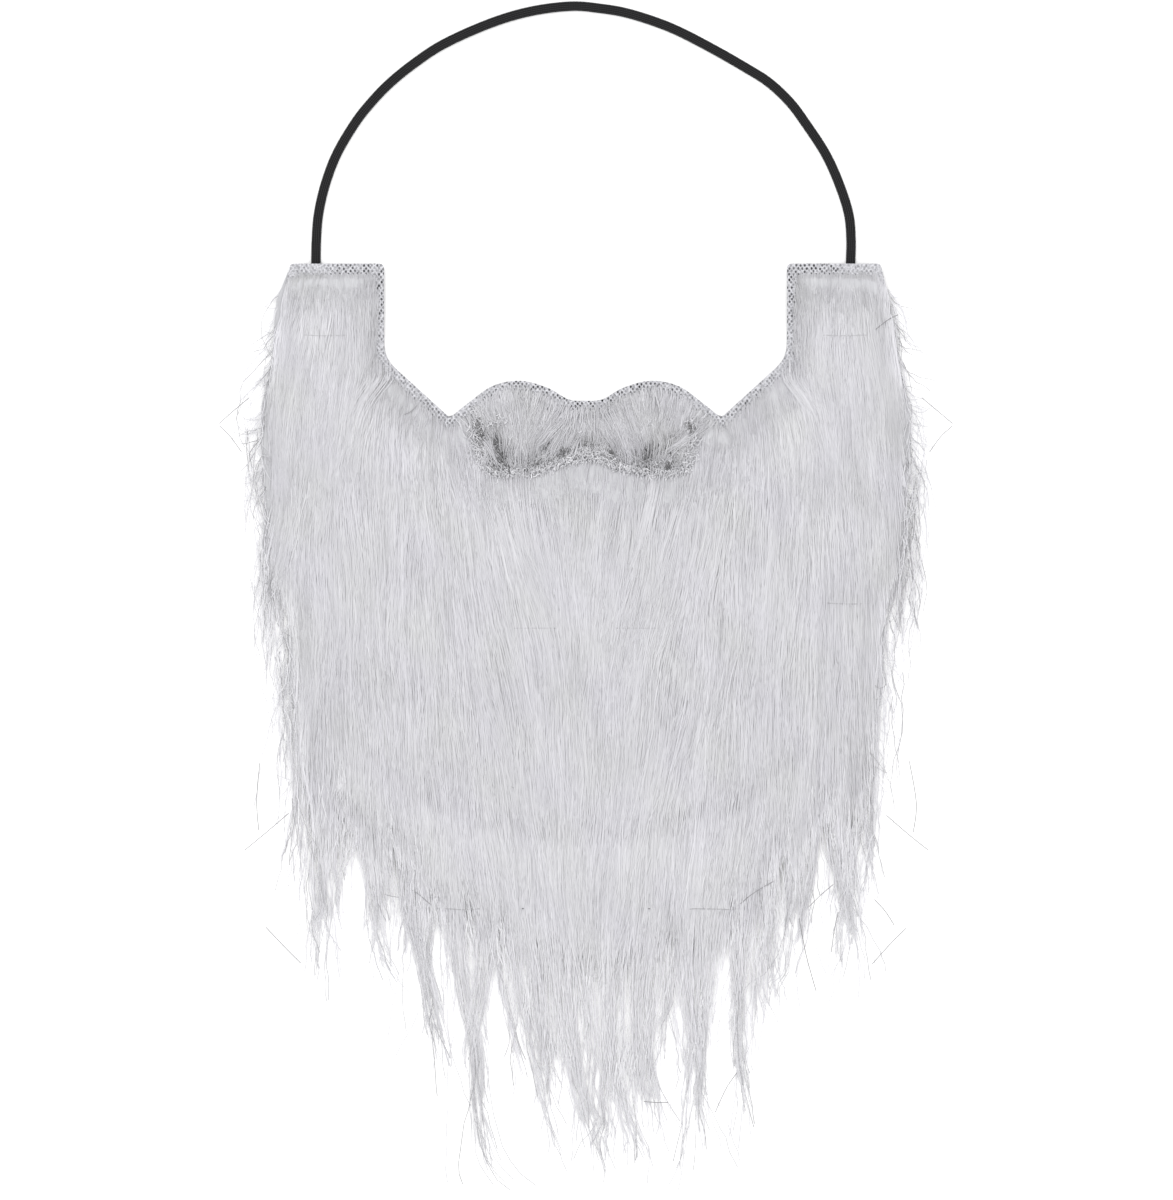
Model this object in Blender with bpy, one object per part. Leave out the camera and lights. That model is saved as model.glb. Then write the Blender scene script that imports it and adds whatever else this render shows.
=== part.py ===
"""A false beard of white long-pile fur cloth on a flat elastic, lying flat with its hair side up.

X runs across the face, +Y runs up towards the elastic and +Z is the hair side.
The origin is under the middle of the beard, on the surface that it lies on.
Outlines and locks are given as (across, down): metres from the middle line, and metres below
the tops of the two side tabs.
"""

from collections import namedtuple

import bmesh
import bpy
from mathutils import Vector

# Driving sizes
BEARD_LENGTH = 0.372
TAB_INNER = 0.0846
TAB_OUTER = 0.1240
TAB_CORNER_DOWN = 0.0395
NOTCH = (0.0569, 0.0647)
CLOTH_THICKNESS = 0.0012
KNIT_EDGE = 0.0035
MAT_TOP = 0.0040
GAP = 0.0003
DIVIDE_GAP = 0.0005
ELASTIC_WIDTH = 0.0040
ELASTIC_THICKNESS = 0.0012
ELASTIC_TAIL = 0.0150
ELASTIC_STEP = 0.0100
CUT_DEPTH = 0.0040
CUT_HEIGHT = 0.0400
WELD = 0.00001

# The upper edge of the moustache cloth, from the middle dip over one hump to the notch
HUMP = [(0.0, 0.0575), (0.0070, 0.0570), (0.0160, 0.0520), (0.0275, 0.0491), (0.0390, 0.0513),
        (0.0490, 0.0583), NOTCH]
# The cloth's outer side and its hidden lower edge, from the tab to the middle line
CLOTH_SIDE = [(0.1265, 0.012), (0.1300, 0.040), (0.1300, 0.110), (0.1220, 0.152),
              (0.1020, 0.190), (0.0700, 0.219), (0.0350, 0.233), (0.0, 0.237)]
# The outer side and lower edge of the dense hair roots, which stand out past the cloth
MAT_SIDE = [(0.1290, 0.009), (0.1325, 0.022), (0.1350, 0.042), (0.1365, 0.064), (0.1360, 0.090),
            (0.1345, 0.115), (0.1320, 0.136), (0.1250, 0.156), (0.1200, 0.186), (0.1000, 0.218),
            (0.0600, 0.242), (0.0, 0.252)]
# The mouth slot, from the middle of its upper edge round one end to the middle of its lower edge
MOUTH = [(0.0, 0.0700), (0.0200, 0.0690), (0.0360, 0.0668), (0.0432, 0.0700), (0.0452, 0.0775),
         (0.0405, 0.0850), (0.0300, 0.0862), (0.0180, 0.0845), (0.0080, 0.0808), (0.0, 0.0798)]
# How far the cloth is lifted off the surface by the elastic's sewn ends, down the tabs
LIFT = [(0.0, 0.0015), (0.017, 0.0015), (0.024, 0.0011), (0.031, 0.0004), (0.038, 0.0)]

# The elastic's middle line, from one sewn end over the loop to the other
ELASTIC_ROUTE = [
    (-0.1132, ELASTIC_TAIL), (-0.1132, 0.0), (-0.1130, -0.0100), (-0.1121, -0.0210),
    (-0.1092, -0.0336), (-0.1044, -0.0462), (-0.0970, -0.0588), (-0.0905, -0.0672),
    (-0.0825, -0.0756), (-0.0722, -0.0840), (-0.0594, -0.0924), (-0.0401, -0.1010),
    (-0.0233, -0.1060), (-0.0065, -0.1082), (0.0061, -0.1073), (0.0187, -0.1050),
    (0.0355, -0.0993), (0.0523, -0.0909), (0.0691, -0.0813), (0.0775, -0.0758),
    (0.0859, -0.0678), (0.0926, -0.0588), (0.1008, -0.0462), (0.1065, -0.0336),
    (0.1105, -0.0210), (0.1115, -0.0100), (0.1113, 0.0), (0.1111, ELASTIC_TAIL),
]

# A lock of hair: where it starts and ends, its full width and height, and how far it bows outwards
Lock = namedtuple("Lock", "across down tip_across tip_down width height bow")
# Locks that lie at one level: their width at the root, and height at root and tip, as shares
Layer = namedtuple("Layer", "locks root_width root_height tip_height")

# The long locks of the fringe, on each side of the middle line
FRINGE = Layer([
    Lock(0.1195, 0.145, 0.1235, 0.252, 0.012, 0.0050, 0.003),
    Lock(0.1130, 0.160, 0.1165, 0.262, 0.014, 0.0060, 0.001),
    Lock(0.1050, 0.180, 0.1105, 0.288, 0.015, 0.0070, -0.003),
    Lock(0.0985, 0.180, 0.1030, 0.258, 0.015, 0.0065, 0.002),
    Lock(0.0930, 0.188, 0.0842, 0.294, 0.014, 0.0070, 0.003),
    Lock(0.0855, 0.190, 0.0815, 0.262, 0.014, 0.0075, 0.001),
    Lock(0.0760, 0.198, 0.0735, 0.281, 0.015, 0.0075, 0.002),
    Lock(0.0672, 0.200, 0.0630, 0.315, 0.018, 0.0080, 0.003),
    Lock(0.0590, 0.205, 0.0560, 0.300, 0.015, 0.0080, 0.000),
    Lock(0.0500, 0.215, 0.0420, 0.362, 0.018, 0.0085, 0.004),
    Lock(0.0400, 0.220, 0.0355, 0.309, 0.015, 0.0080, 0.001),
    Lock(0.0300, 0.222, 0.0270, 0.338, 0.016, 0.0080, 0.001),
    Lock(0.0195, 0.225, 0.0178, 0.358, 0.018, 0.0085, 0.002),
    Lock(0.0100, 0.225, 0.0070, 0.330, 0.016, 0.0080, 0.001),
], 0.80, 0.90, 0.15)
FRINGE_MIDDLE = Layer([
    Lock(0.0, 0.222, -0.0025, BEARD_LENGTH, 0.017, 0.0085, 0.002),
], 0.80, 0.90, 0.15)
# The broad locks over the body of the beard
BODY = Layer([
    Lock(0.1240, 0.085, 0.1225, 0.205, 0.018, 0.0065, 0.002),
    Lock(0.1130, 0.100, 0.1110, 0.236, 0.020, 0.0090, 0.003),
    Lock(0.1010, 0.082, 0.0990, 0.222, 0.020, 0.0105, 0.001),
    Lock(0.0890, 0.104, 0.0860, 0.256, 0.022, 0.0118, 0.003),
    Lock(0.0770, 0.084, 0.0730, 0.238, 0.020, 0.0120, 0.002),
    Lock(0.0650, 0.106, 0.0600, 0.280, 0.022, 0.0130, 0.003),
    Lock(0.0520, 0.090, 0.0475, 0.262, 0.022, 0.0128, 0.001),
    Lock(0.0390, 0.112, 0.0350, 0.300, 0.022, 0.0133, 0.002),
    Lock(0.0260, 0.090, 0.0235, 0.276, 0.022, 0.0130, 0.002),
    Lock(0.0130, 0.108, 0.0120, 0.312, 0.022, 0.0132, 0.001),
], 0.80, 0.30, 0.45)
BODY_MIDDLE = Layer([Lock(0.0, 0.092, 0.0010, 0.286, 0.020, 0.0126, 0.001)], 0.80, 0.30, 0.45)
# The shorter locks of the side tabs, cheeks and chin
FACE = Layer([
    Lock(0.1275, 0.016, 0.1295, 0.128, 0.014, 0.0055, 0.002),
    Lock(0.1185, 0.008, 0.1190, 0.166, 0.016, 0.0078, 0.002),
    Lock(0.1085, 0.006, 0.1075, 0.122, 0.016, 0.0080, 0.001),
    Lock(0.0985, 0.008, 0.0975, 0.178, 0.017, 0.0094, 0.002),
    Lock(0.0905, 0.034, 0.0880, 0.138, 0.015, 0.0092, 0.001),
    Lock(0.0820, 0.048, 0.0780, 0.196, 0.018, 0.0108, 0.003),
    Lock(0.0725, 0.058, 0.0675, 0.156, 0.016, 0.0106, 0.002),
    Lock(0.0635, 0.066, 0.0580, 0.210, 0.018, 0.0118, 0.004),
    Lock(0.0550, 0.076, 0.0485, 0.170, 0.016, 0.0114, 0.003),
    Lock(0.0450, 0.088, 0.0385, 0.218, 0.018, 0.0120, 0.003),
    Lock(0.0340, 0.091, 0.0285, 0.178, 0.018, 0.0116, 0.002),
    Lock(0.0225, 0.088, 0.0185, 0.226, 0.018, 0.0120, 0.001),
    Lock(0.0110, 0.084, 0.0085, 0.186, 0.016, 0.0114, 0.001),
], 0.40, 0.36, 0.86)
FACE_MIDDLE = Layer([Lock(0.0, 0.083, -0.0005, 0.202, 0.014, 0.0118, 0.0)], 0.40, 0.36, 0.86)
# The short locks of the moustache
MOUSTACHE = Layer([
    Lock(0.0060, 0.0605, 0.0050, 0.0760, 0.010, 0.0050, 0.000),
    Lock(0.0140, 0.0570, 0.0135, 0.0770, 0.011, 0.0060, 0.000),
    Lock(0.0225, 0.0535, 0.0235, 0.0780, 0.012, 0.0070, 0.001),
    Lock(0.0310, 0.0535, 0.0330, 0.0780, 0.012, 0.0070, 0.001),
    Lock(0.0395, 0.0560, 0.0425, 0.0760, 0.012, 0.0060, 0.002),
    Lock(0.0470, 0.0620, 0.0520, 0.0760, 0.010, 0.0045, 0.001),
], 0.50, 0.50, 0.55)
LOCK_RINGS = 7
FULLEST = 0.45
TIP_WIDTH = 0.0016
TIP_HEIGHT = 0.0012
# One side of a lock's cross-section, as shares of its half width and height, from the ridge outwards
SECTION = [(0.0, 1.0), (0.62, 0.76), (1.0, 0.24)]


def clear_scene():
    for old in list(bpy.data.objects):
        bpy.data.objects.remove(old, do_unlink=True)


def new_collection(name):
    made = bpy.data.collections.new(name)
    bpy.context.scene.collection.children.link(made)
    return made


def material(name, colour, roughness):
    made = bpy.data.materials.new(name)
    made.use_nodes = True
    shader = made.node_tree.nodes["Principled BSDF"]
    shader.inputs["Base Color"].default_value = (*colour, 1.0)
    shader.inputs["Roughness"].default_value = roughness
    shader.inputs["Metallic"].default_value = 0.0
    return made


def place(point, height=0.0):
    """The place in the part's frame of a point given as (across, down)."""
    across, down = point
    return Vector((across, BEARD_LENGTH / 2 - down, height))


def smooth(points, per_span=4, closed=False):
    """Points on a smooth curve through the given ones."""
    count = len(points)
    spans = count if closed else count - 1

    def at(index):
        if closed:
            return Vector(points[index % count])
        return Vector(points[min(max(index, 0), count - 1)])

    curve = []
    for span in range(spans):
        a, b, c, d = (at(span + offset) for offset in (-1, 0, 1, 2))
        for step in range(per_span):
            t = step / per_span
            bend = 2 * b + (c - a) * t + (2 * a - 5 * b + 4 * c - d) * t**2
            curve.append(tuple((bend + (3 * b - a - 3 * c + d) * t**3) / 2))
    if not closed:
        curve.append(tuple(points[-1]))
    return curve


def mirrored(half):
    """A half outline that starts and ends on the middle line, made whole."""
    return half + [(-across, down) for across, down in reversed(half[1:-1])]


def fillet(before, corner, after, radius, steps=4):
    """A rounded corner between two straight edges."""
    corner = Vector(corner)
    start = corner + (Vector(before) - corner).normalized() * radius
    end = corner + (Vector(after) - corner).normalized() * radius
    shares = [step / steps for step in range(steps + 1)]
    return [tuple(start * (1 - t)**2 + corner * (2 * t * (1 - t)) + end * t**2) for t in shares]


def grown(outline, distance):
    """The outline moved outwards by a distance, or inwards by a negative one."""
    points = [Vector(point) for point in outline]
    count = len(points)
    area = sum(points[i - 1].cross(points[i]) for i in range(count))
    turn = 1 if area > 0 else -1
    moved = []
    for i, point in enumerate(points):
        before = (point - points[i - 1]).normalized()
        after = (points[(i + 1) % count] - point).normalized()
        middle = (before + after).normalized()
        normal = Vector((middle.y, -middle.x)) * turn
        square = Vector((before.y, -before.x)) * turn
        moved.append(tuple(point + normal * distance / max(normal.dot(square), 0.5)))
    return moved


def face_edge(inset=0.0):
    """Half of the edge round the face, from the middle of the moustache to the tab's outer corner."""
    hump = smooth(HUMP, 3)
    inner = TAB_INNER + inset
    corner = (inner, TAB_CORNER_DOWN + inset / 2)
    top_inner = (inner, inset)
    top_outer = (TAB_OUTER, inset)
    side = (TAB_OUTER + 0.002, 0.02)
    run = [(across, down + inset) for across, down in hump]
    run += fillet(run[-1], corner, top_inner, 0.006)
    run += fillet(corner, top_inner, top_outer, 0.002)
    run += fillet(top_inner, top_outer, side, 0.002)
    return run


def cloth_outline():
    return mirrored(face_edge() + smooth(CLOTH_SIDE, 3))


def mat_outline():
    return mirrored(face_edge(KNIT_EDGE) + smooth(MAT_SIDE, 2))


def mouth_outline():
    return mirrored(smooth(MOUTH, 2))


def moustache_space():
    """The ground of the moustache: everything above a line from each notch to the mouth slot."""
    notch_across, notch_down = NOTCH
    return mirrored([(0.0, 0.040), (notch_across, 0.040), (notch_across, notch_down),
                     (0.0432, 0.0715), (0.030, 0.076), (0.0, 0.075)])


def flat_outline(name, outlines, low, high, group):
    """A closed flat piece between two heights; outlines after the first are holes in it."""
    curve = bpy.data.curves.new(name, "CURVE")
    curve.dimensions = "2D"
    curve.fill_mode = "BOTH"
    curve.extrude = (high - low) / 2
    for outline in outlines:
        spline = curve.splines.new("POLY")
        spline.points.add(len(outline) - 1)
        spline.use_cyclic_u = True
        for point, place_2d in zip(spline.points, outline):
            point.co = (*place(place_2d), 1.0)
    guide = bpy.data.objects.new(name + "_outline", curve)
    guide.location.z = (high + low) / 2
    group.objects.link(guide)
    return as_mesh(guide, name, group)


def as_mesh(guide, name, group):
    """The mesh of a curve object, welded, in place of the curve."""
    bpy.context.view_layer.update()
    graph = bpy.context.evaluated_depsgraph_get()
    mesh = bpy.data.meshes.new_from_object(guide.evaluated_get(graph))
    mesh.transform(guide.matrix_world)
    bpy.data.objects.remove(guide, do_unlink=True)
    made = bpy.data.objects.new(name, mesh)
    group.objects.link(made)
    form = bmesh.new()
    form.from_mesh(mesh)
    bmesh.ops.remove_doubles(form, verts=form.verts, dist=1e-6)
    bmesh.ops.recalc_face_normals(form, faces=form.faces)
    form.to_mesh(mesh)
    form.free()
    return made


def lift_at(down):
    """The height of the cloth's underside, this far below the tab tops."""
    for (near, high), (far, low) in zip(LIFT, LIFT[1:]):
        if down <= far:
            share = max(0.0, (down - near) / (far - near))
            return high + (low - high) * share
    return 0.0


def lift_over_elastic(cloth):
    """Bends the tabs' upper ends up over the elastic's sewn ends."""
    form = bmesh.new()
    form.from_mesh(cloth.data)
    for down, _ in LIFT[1:]:
        cut = list(form.verts) + list(form.edges) + list(form.faces)
        bmesh.ops.bisect_plane(form, geom=cut, plane_co=place((0.0, down)), plane_no=(0, 1, 0))
    for vertex in form.verts:
        vertex.co.z += lift_at(BEARD_LENGTH / 2 - vertex.co.y)
    form.to_mesh(cloth.data)
    form.free()


def lock_size(share, layer):
    """(width, height) of a lock as shares of its full size, at a share of its length."""
    if share < FULLEST:
        swell = share / FULLEST
        swell *= 2 - swell
        width = layer.root_width + (1 - layer.root_width) * swell
        return width, layer.root_height + (1 - layer.root_height) * swell
    fade = (share - FULLEST) / (1 - FULLEST)
    return 1 - fade**1.6, 1 - (1 - layer.tip_height) * fade**1.5


def lock_mesh(lock, layer, side):
    """One lock: rings along its bowed middle line, each a ridge with sides down below the surface."""
    form = bmesh.new()
    rings = []
    start = Vector((lock.across * side, lock.down))
    end = Vector((lock.tip_across * side, lock.tip_down))
    ridge = [(-across, height) for across, height in reversed(SECTION[1:])] + SECTION
    for step in range(LOCK_RINGS):
        share = step / (LOCK_RINGS - 1)
        wide, high = lock_size(share, layer)
        half = max(lock.width * wide, TIP_WIDTH) / 2
        top = max(lock.height * high, TIP_HEIGHT)
        middle = start.lerp(end, share)
        middle.x += lock.bow * side * 4 * share * (1 - share)
        ring = [(-1.0, -CUT_DEPTH)] + [(across, top * height) for across, height in ridge]
        ring.append((1.0, -CUT_DEPTH))
        rings.append([
            form.verts.new(place((middle.x + half * across, middle.y), height))
            for across, height in ring
        ])
    for ring, following in zip(rings, rings[1:]):
        for i in range(len(ring)):
            form.faces.new((ring[i - 1], ring[i], following[i], following[i - 1]))
    form.faces.new(rings[0])
    form.faces.new(rings[-1])
    bmesh.ops.recalc_face_normals(form, faces=form.faces)
    mesh = bpy.data.meshes.new("lock")
    form.to_mesh(mesh)
    form.free()
    return mesh


def add_locks(layer, group, sides=(-1, 1)):
    for side in sides:
        for lock in layer.locks:
            group.objects.link(bpy.data.objects.new("lock", lock_mesh(lock, layer, side)))


def boolean(piece, operation, tool):
    """Joins or cuts a piece at once, with one object or with every object of a collection."""
    change = piece.modifiers.new(operation.lower(), "BOOLEAN")
    change.operation = operation
    change.solver = "EXACT"
    if isinstance(tool, bpy.types.Collection):
        change.operand_type = "COLLECTION"
        change.collection = tool
    else:
        change.object = tool
    graph = bpy.context.evaluated_depsgraph_get()
    mesh = bpy.data.meshes.new_from_object(piece.evaluated_get(graph))
    piece.modifiers.clear()
    piece.data = mesh
    form = bmesh.new()
    form.from_mesh(mesh)
    bmesh.ops.remove_doubles(form, verts=form.verts, dist=WELD)
    bmesh.ops.dissolve_degenerate(form, edges=form.edges, dist=WELD)
    bmesh.ops.triangulate(form, faces=form.faces)
    form.to_mesh(mesh)
    form.free()


def finish(piece, colour):
    piece.data.materials.clear()
    piece.data.materials.append(colour)
    piece.data.shade_smooth()
    piece.data.set_sharp_from_angle(angle=0.7)


def make_cutters(group):
    """The spaces that the hair keeps clear of: the surface, the cloth, the mouth and the moustache."""
    reach = BEARD_LENGTH
    sheet = [(-reach, -reach), (reach, -reach), (reach, 2 * reach), (-reach, 2 * reach)]
    cloth = flat_outline("cloth_space", [grown(cloth_outline(), GAP)], -CUT_DEPTH,
                         CLOTH_THICKNESS + GAP, group)
    lift_over_elastic(cloth)
    cutters = {
        "surface": flat_outline("surface_space", [sheet], -2 * CUT_DEPTH, 0.0, group),
        "cloth": cloth,
        "mouth": flat_outline("mouth_space", [grown(mouth_outline(), GAP)], -CUT_DEPTH,
                              CUT_HEIGHT, group),
        "moustache": flat_outline("moustache_space", [moustache_space()], -CUT_DEPTH,
                                  CUT_HEIGHT, group),
        "around": flat_outline("around_moustache", [grown(moustache_space(), DIVIDE_GAP)],
                               -CUT_DEPTH, CUT_HEIGHT, group),
    }
    for cutter in cutters.values():
        cutter.hide_render = True
        cutter.display_type = "WIRE"
    return cutters


def make_backing(group, colour):
    cloth = flat_outline("backing", [cloth_outline(), mouth_outline()], 0.0, CLOTH_THICKNESS, group)
    lift_over_elastic(cloth)
    finish(cloth, colour)


def make_beard(group, helpers, cutters, colour):
    locks = bpy.data.collections.new("beard_locks")
    helpers.children.link(locks)
    for layer in (FRINGE, BODY, FACE):
        add_locks(layer, locks)
    for layer in (FRINGE_MIDDLE, BODY_MIDDLE, FACE_MIDDLE):
        add_locks(layer, locks, sides=(1,))
    hair = flat_outline("beard_hair", [mat_outline()], -CUT_DEPTH, MAT_TOP, group)
    boolean(hair, "UNION", locks)
    for cutter in ("surface", "cloth", "mouth", "around"):
        boolean(hair, "DIFFERENCE", cutters[cutter])
    finish(hair, colour)
    return locks


def make_moustache(group, helpers, cutters, colour):
    locks = bpy.data.collections.new("moustache_locks")
    helpers.children.link(locks)
    add_locks(MOUSTACHE, locks)
    hair = flat_outline("moustache_hair", [mat_outline()], -CUT_DEPTH, MAT_TOP, group)
    boolean(hair, "UNION", locks)
    boolean(hair, "INTERSECT", cutters["moustache"])
    for cutter in ("surface", "cloth", "mouth"):
        boolean(hair, "DIFFERENCE", cutters[cutter])
    finish(hair, colour)
    return locks


def make_elastic(group, colour):
    """A flat band that lies on the surface, with both ends under the tabs."""
    route = smooth(ELASTIC_ROUTE, 8)
    kept = [route[0]]
    for point in route[1:-1]:
        if (Vector(point) - Vector(kept[-1])).length >= ELASTIC_STEP:
            kept.append(point)
    kept.append(route[-1])
    curve = bpy.data.curves.new("elastic_band", "CURVE")
    curve.dimensions = "3D"
    curve.twist_mode = "Z_UP"
    curve.extrude = (ELASTIC_WIDTH - ELASTIC_THICKNESS) / 2
    curve.bevel_depth = ELASTIC_THICKNESS / 2
    curve.bevel_resolution = 2
    curve.use_fill_caps = True
    spline = curve.splines.new("POLY")
    spline.points.add(len(kept) - 1)
    for point, place_2d in zip(spline.points, kept):
        point.co = (*place(place_2d, ELASTIC_THICKNESS / 2), 1.0)
        point.tilt = 1.5707963
    spline.use_smooth = True
    curve.materials.append(colour)
    group.objects.link(bpy.data.objects.new("elastic_band", curve))


def hide(helpers):
    """Keeps the tools of the shapes out of the finished part."""
    for helper in helpers.all_objects:
        helper.hide_render = True
        helper.display_type = "WIRE"


def main():
    clear_scene()
    beard = new_collection("fake_beard")
    helpers = new_collection("cutters")
    knit = material("knit_cloth", (0.60, 0.60, 0.62), 0.9)
    hair = material("white_hair", (0.68, 0.68, 0.72), 0.7)
    elastic = material("black_elastic", (0.012, 0.012, 0.013), 0.75)
    cutters = make_cutters(helpers)
    make_backing(beard, knit)
    make_beard(beard, helpers, cutters, hair)
    make_moustache(beard, helpers, cutters, hair)
    make_elastic(beard, elastic)
    hide(helpers)


main()
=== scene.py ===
"""The false beard as photographed: white long-pile fur cloth on a flat black elastic, from above.

Places are (across, down): metres from the middle line, and metres below the tops of the side tabs.
Tables with photo places give them in the photograph's pixels, which spot() turns into metres.
"""

import math

import bpy
import numpy as np
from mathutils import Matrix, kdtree


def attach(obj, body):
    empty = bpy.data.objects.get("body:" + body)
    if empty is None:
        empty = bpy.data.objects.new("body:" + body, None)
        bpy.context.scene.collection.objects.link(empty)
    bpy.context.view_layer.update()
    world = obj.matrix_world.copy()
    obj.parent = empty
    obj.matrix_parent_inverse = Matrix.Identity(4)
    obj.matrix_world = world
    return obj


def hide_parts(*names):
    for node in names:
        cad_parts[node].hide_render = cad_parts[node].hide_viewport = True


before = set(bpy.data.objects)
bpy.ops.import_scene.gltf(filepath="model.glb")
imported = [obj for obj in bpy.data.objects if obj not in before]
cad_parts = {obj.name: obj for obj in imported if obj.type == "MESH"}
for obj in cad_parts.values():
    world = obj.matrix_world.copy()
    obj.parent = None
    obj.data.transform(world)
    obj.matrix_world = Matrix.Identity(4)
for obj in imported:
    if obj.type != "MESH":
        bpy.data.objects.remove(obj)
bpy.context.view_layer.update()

# The frame of the photograph
PIXEL = 0.00042
MIDDLE_X, TAB_TOP_Y = 585.5, 264.0
PHOTO_HEIGHT = 1200
PHOTO_CENTRE = (586.5, 600.0)
TOP_Y = 0.186
LENS = 0.150
SENSOR = 0.036

# Sizes shared with the solids: lines that run down a side are rows of (across, down), and LIFT has
# rows of (down, height of the cloth's underside)
CLOTH_TOP = 0.0012
ELASTIC_WIDTH = 0.0040
ELASTIC_THICKNESS = 0.0012
ELASTIC_TAIL = 0.0150
# The map along the elastic: the length of one turn of the braid, and how far it slants across
BRAID_LENGTH, BRAID_SLANT = 0.0016, 1.6
TAB_INNER, TAB_OUTER, TAB_CORNER_DOWN = 0.0846, 0.1240, 0.0395
NOTCH = (0.0569, 0.0647)
HUMP = [(0.0, 0.0575), (0.0070, 0.0570), (0.0160, 0.0520), (0.0275, 0.0491), (0.0390, 0.0513),
        (0.0490, 0.0583), NOTCH]
CLOTH_SIDE = [(0.1265, 0.012), (0.1300, 0.040), (0.1300, 0.110), (0.1220, 0.152),
              (0.1020, 0.190), (0.0700, 0.219), (0.0350, 0.233), (0.0, 0.237)]
MAT_SIDE = [(0.1240, 0.000), (0.1290, 0.009), (0.1325, 0.022), (0.1350, 0.042), (0.1365, 0.064),
            (0.1360, 0.090), (0.1345, 0.115), (0.1320, 0.136), (0.1250, 0.156), (0.1200, 0.186),
            (0.1170, 0.240)]
MOUTH = [(0.0, 0.0700), (0.0200, 0.0690), (0.0360, 0.0668), (0.0432, 0.0700), (0.0452, 0.0775),
         (0.0405, 0.0850), (0.0300, 0.0862), (0.0180, 0.0845), (0.0080, 0.0808), (0.0, 0.0798)]
LIFT = [(0.0, 0.0015), (0.017, 0.0015), (0.024, 0.0011), (0.031, 0.0004), (0.038, 0.0)]
ELASTIC_ROUTE = [
    (-0.1132, ELASTIC_TAIL), (-0.1132, 0.0), (-0.1130, -0.0100), (-0.1121, -0.0210),
    (-0.1092, -0.0336), (-0.1044, -0.0462), (-0.0970, -0.0588), (-0.0905, -0.0672),
    (-0.0825, -0.0756), (-0.0722, -0.0840), (-0.0594, -0.0924), (-0.0401, -0.1010),
    (-0.0233, -0.1060), (-0.0065, -0.1082), (0.0061, -0.1073), (0.0187, -0.1050),
    (0.0355, -0.0993), (0.0523, -0.0909), (0.0691, -0.0813), (0.0775, -0.0758),
    (0.0859, -0.0678), (0.0926, -0.0588), (0.1008, -0.0462), (0.1065, -0.0336),
    (0.1105, -0.0210), (0.1115, -0.0100), (0.1113, 0.0), (0.1111, ELASTIC_TAIL),
]

# The spacing of the knit's columns and rows of loops
KNIT_COLUMN, KNIT_ROW = 0.00185, 0.00118
# How open the knit looks, from 0 to 1, which sets how much painted shade its gaps get: across mm,
# down mm, share
OPEN_KNIT = [
    (88, 1, 0.85), (96, 1, 1.0), (103, 2, 0.85), (110, 1, 0.40), (118, 1, 0.45), (124, 3, 0.35),
    (96, 5, 0.85), (86, 8, 1.0), (86, 18, 0.9), (86, 28, 0.7), (86, 38, 0.5), (80, 45, 0.55),
    (72, 52, 0.65), (64, 60, 0.75), (60, 63, 0.7), (54, 61, 0.5), (46, 56, 0.6), (38, 51, 0.75),
    (30, 49, 0.95), (20, 50, 1.0), (12, 54, 0.95), (5, 57, 1.0), (0, 58, 1.0), (30, 54, 0.5),
    (15, 58, 0.6), (0, 62, 0.9), (92, 12, 0.4), (92, 30, 0.3),
]

# The lie of the pile: across and down in mm, and degrees from straight down, outwards positive
LIE = [
    (105, 5, 0), (122, 8, 8), (88, 8, 0), (105, 30, 1), (124, 35, 6), (90, 34, 4),
    (84, 47, 18), (92, 56, 18), (97, 68, 8), (74, 58, 5), (62, 70, 0), (70, 82, -4),
    (110, 60, 2), (130, 70, 6), (100, 90, 1), (84, 90, 1), (120, 110, 2), (132, 120, 4),
    (54, 76, -6), (50, 90, -9), (38, 92, -8), (34, 110, -11), (26, 98, -8), (20, 122, -14),
    (13, 140, -12), (0, 90, 0), (0, 120, 0), (0, 160, 0), (10, 100, -2), (46, 120, -8),
    (60, 110, -4), (70, 140, -3), (50, 150, -8), (30, 150, -12), (16, 170, -7), (90, 150, 0),
    (110, 160, 0), (124, 160, 0), (70, 190, -3), (45, 190, -7), (25, 200, -7), (95, 200, 0),
    (115, 200, 1), (0, 230, 0), (20, 240, -8), (45, 240, -7), (70, 240, -3), (100, 240, 1),
]
# The same for the moustache
MOUSTACHE_LIE = [
    (0, 58, 12), (6, 64, 24), (12, 66, 34), (18, 60, 14), (20, 68, 26), (27, 52, 0),
    (27, 62, 2), (30, 70, 2), (36, 56, -6), (38, 66, -16), (44, 62, -22), (46, 70, -34),
    (52, 66, -30), (50, 76, -40),
]
# How far the rows of such a table reach before the next one takes over
LIE_REACH, MOUSTACHE_REACH, KNIT_REACH = 0.012, 0.005, 0.003

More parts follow.
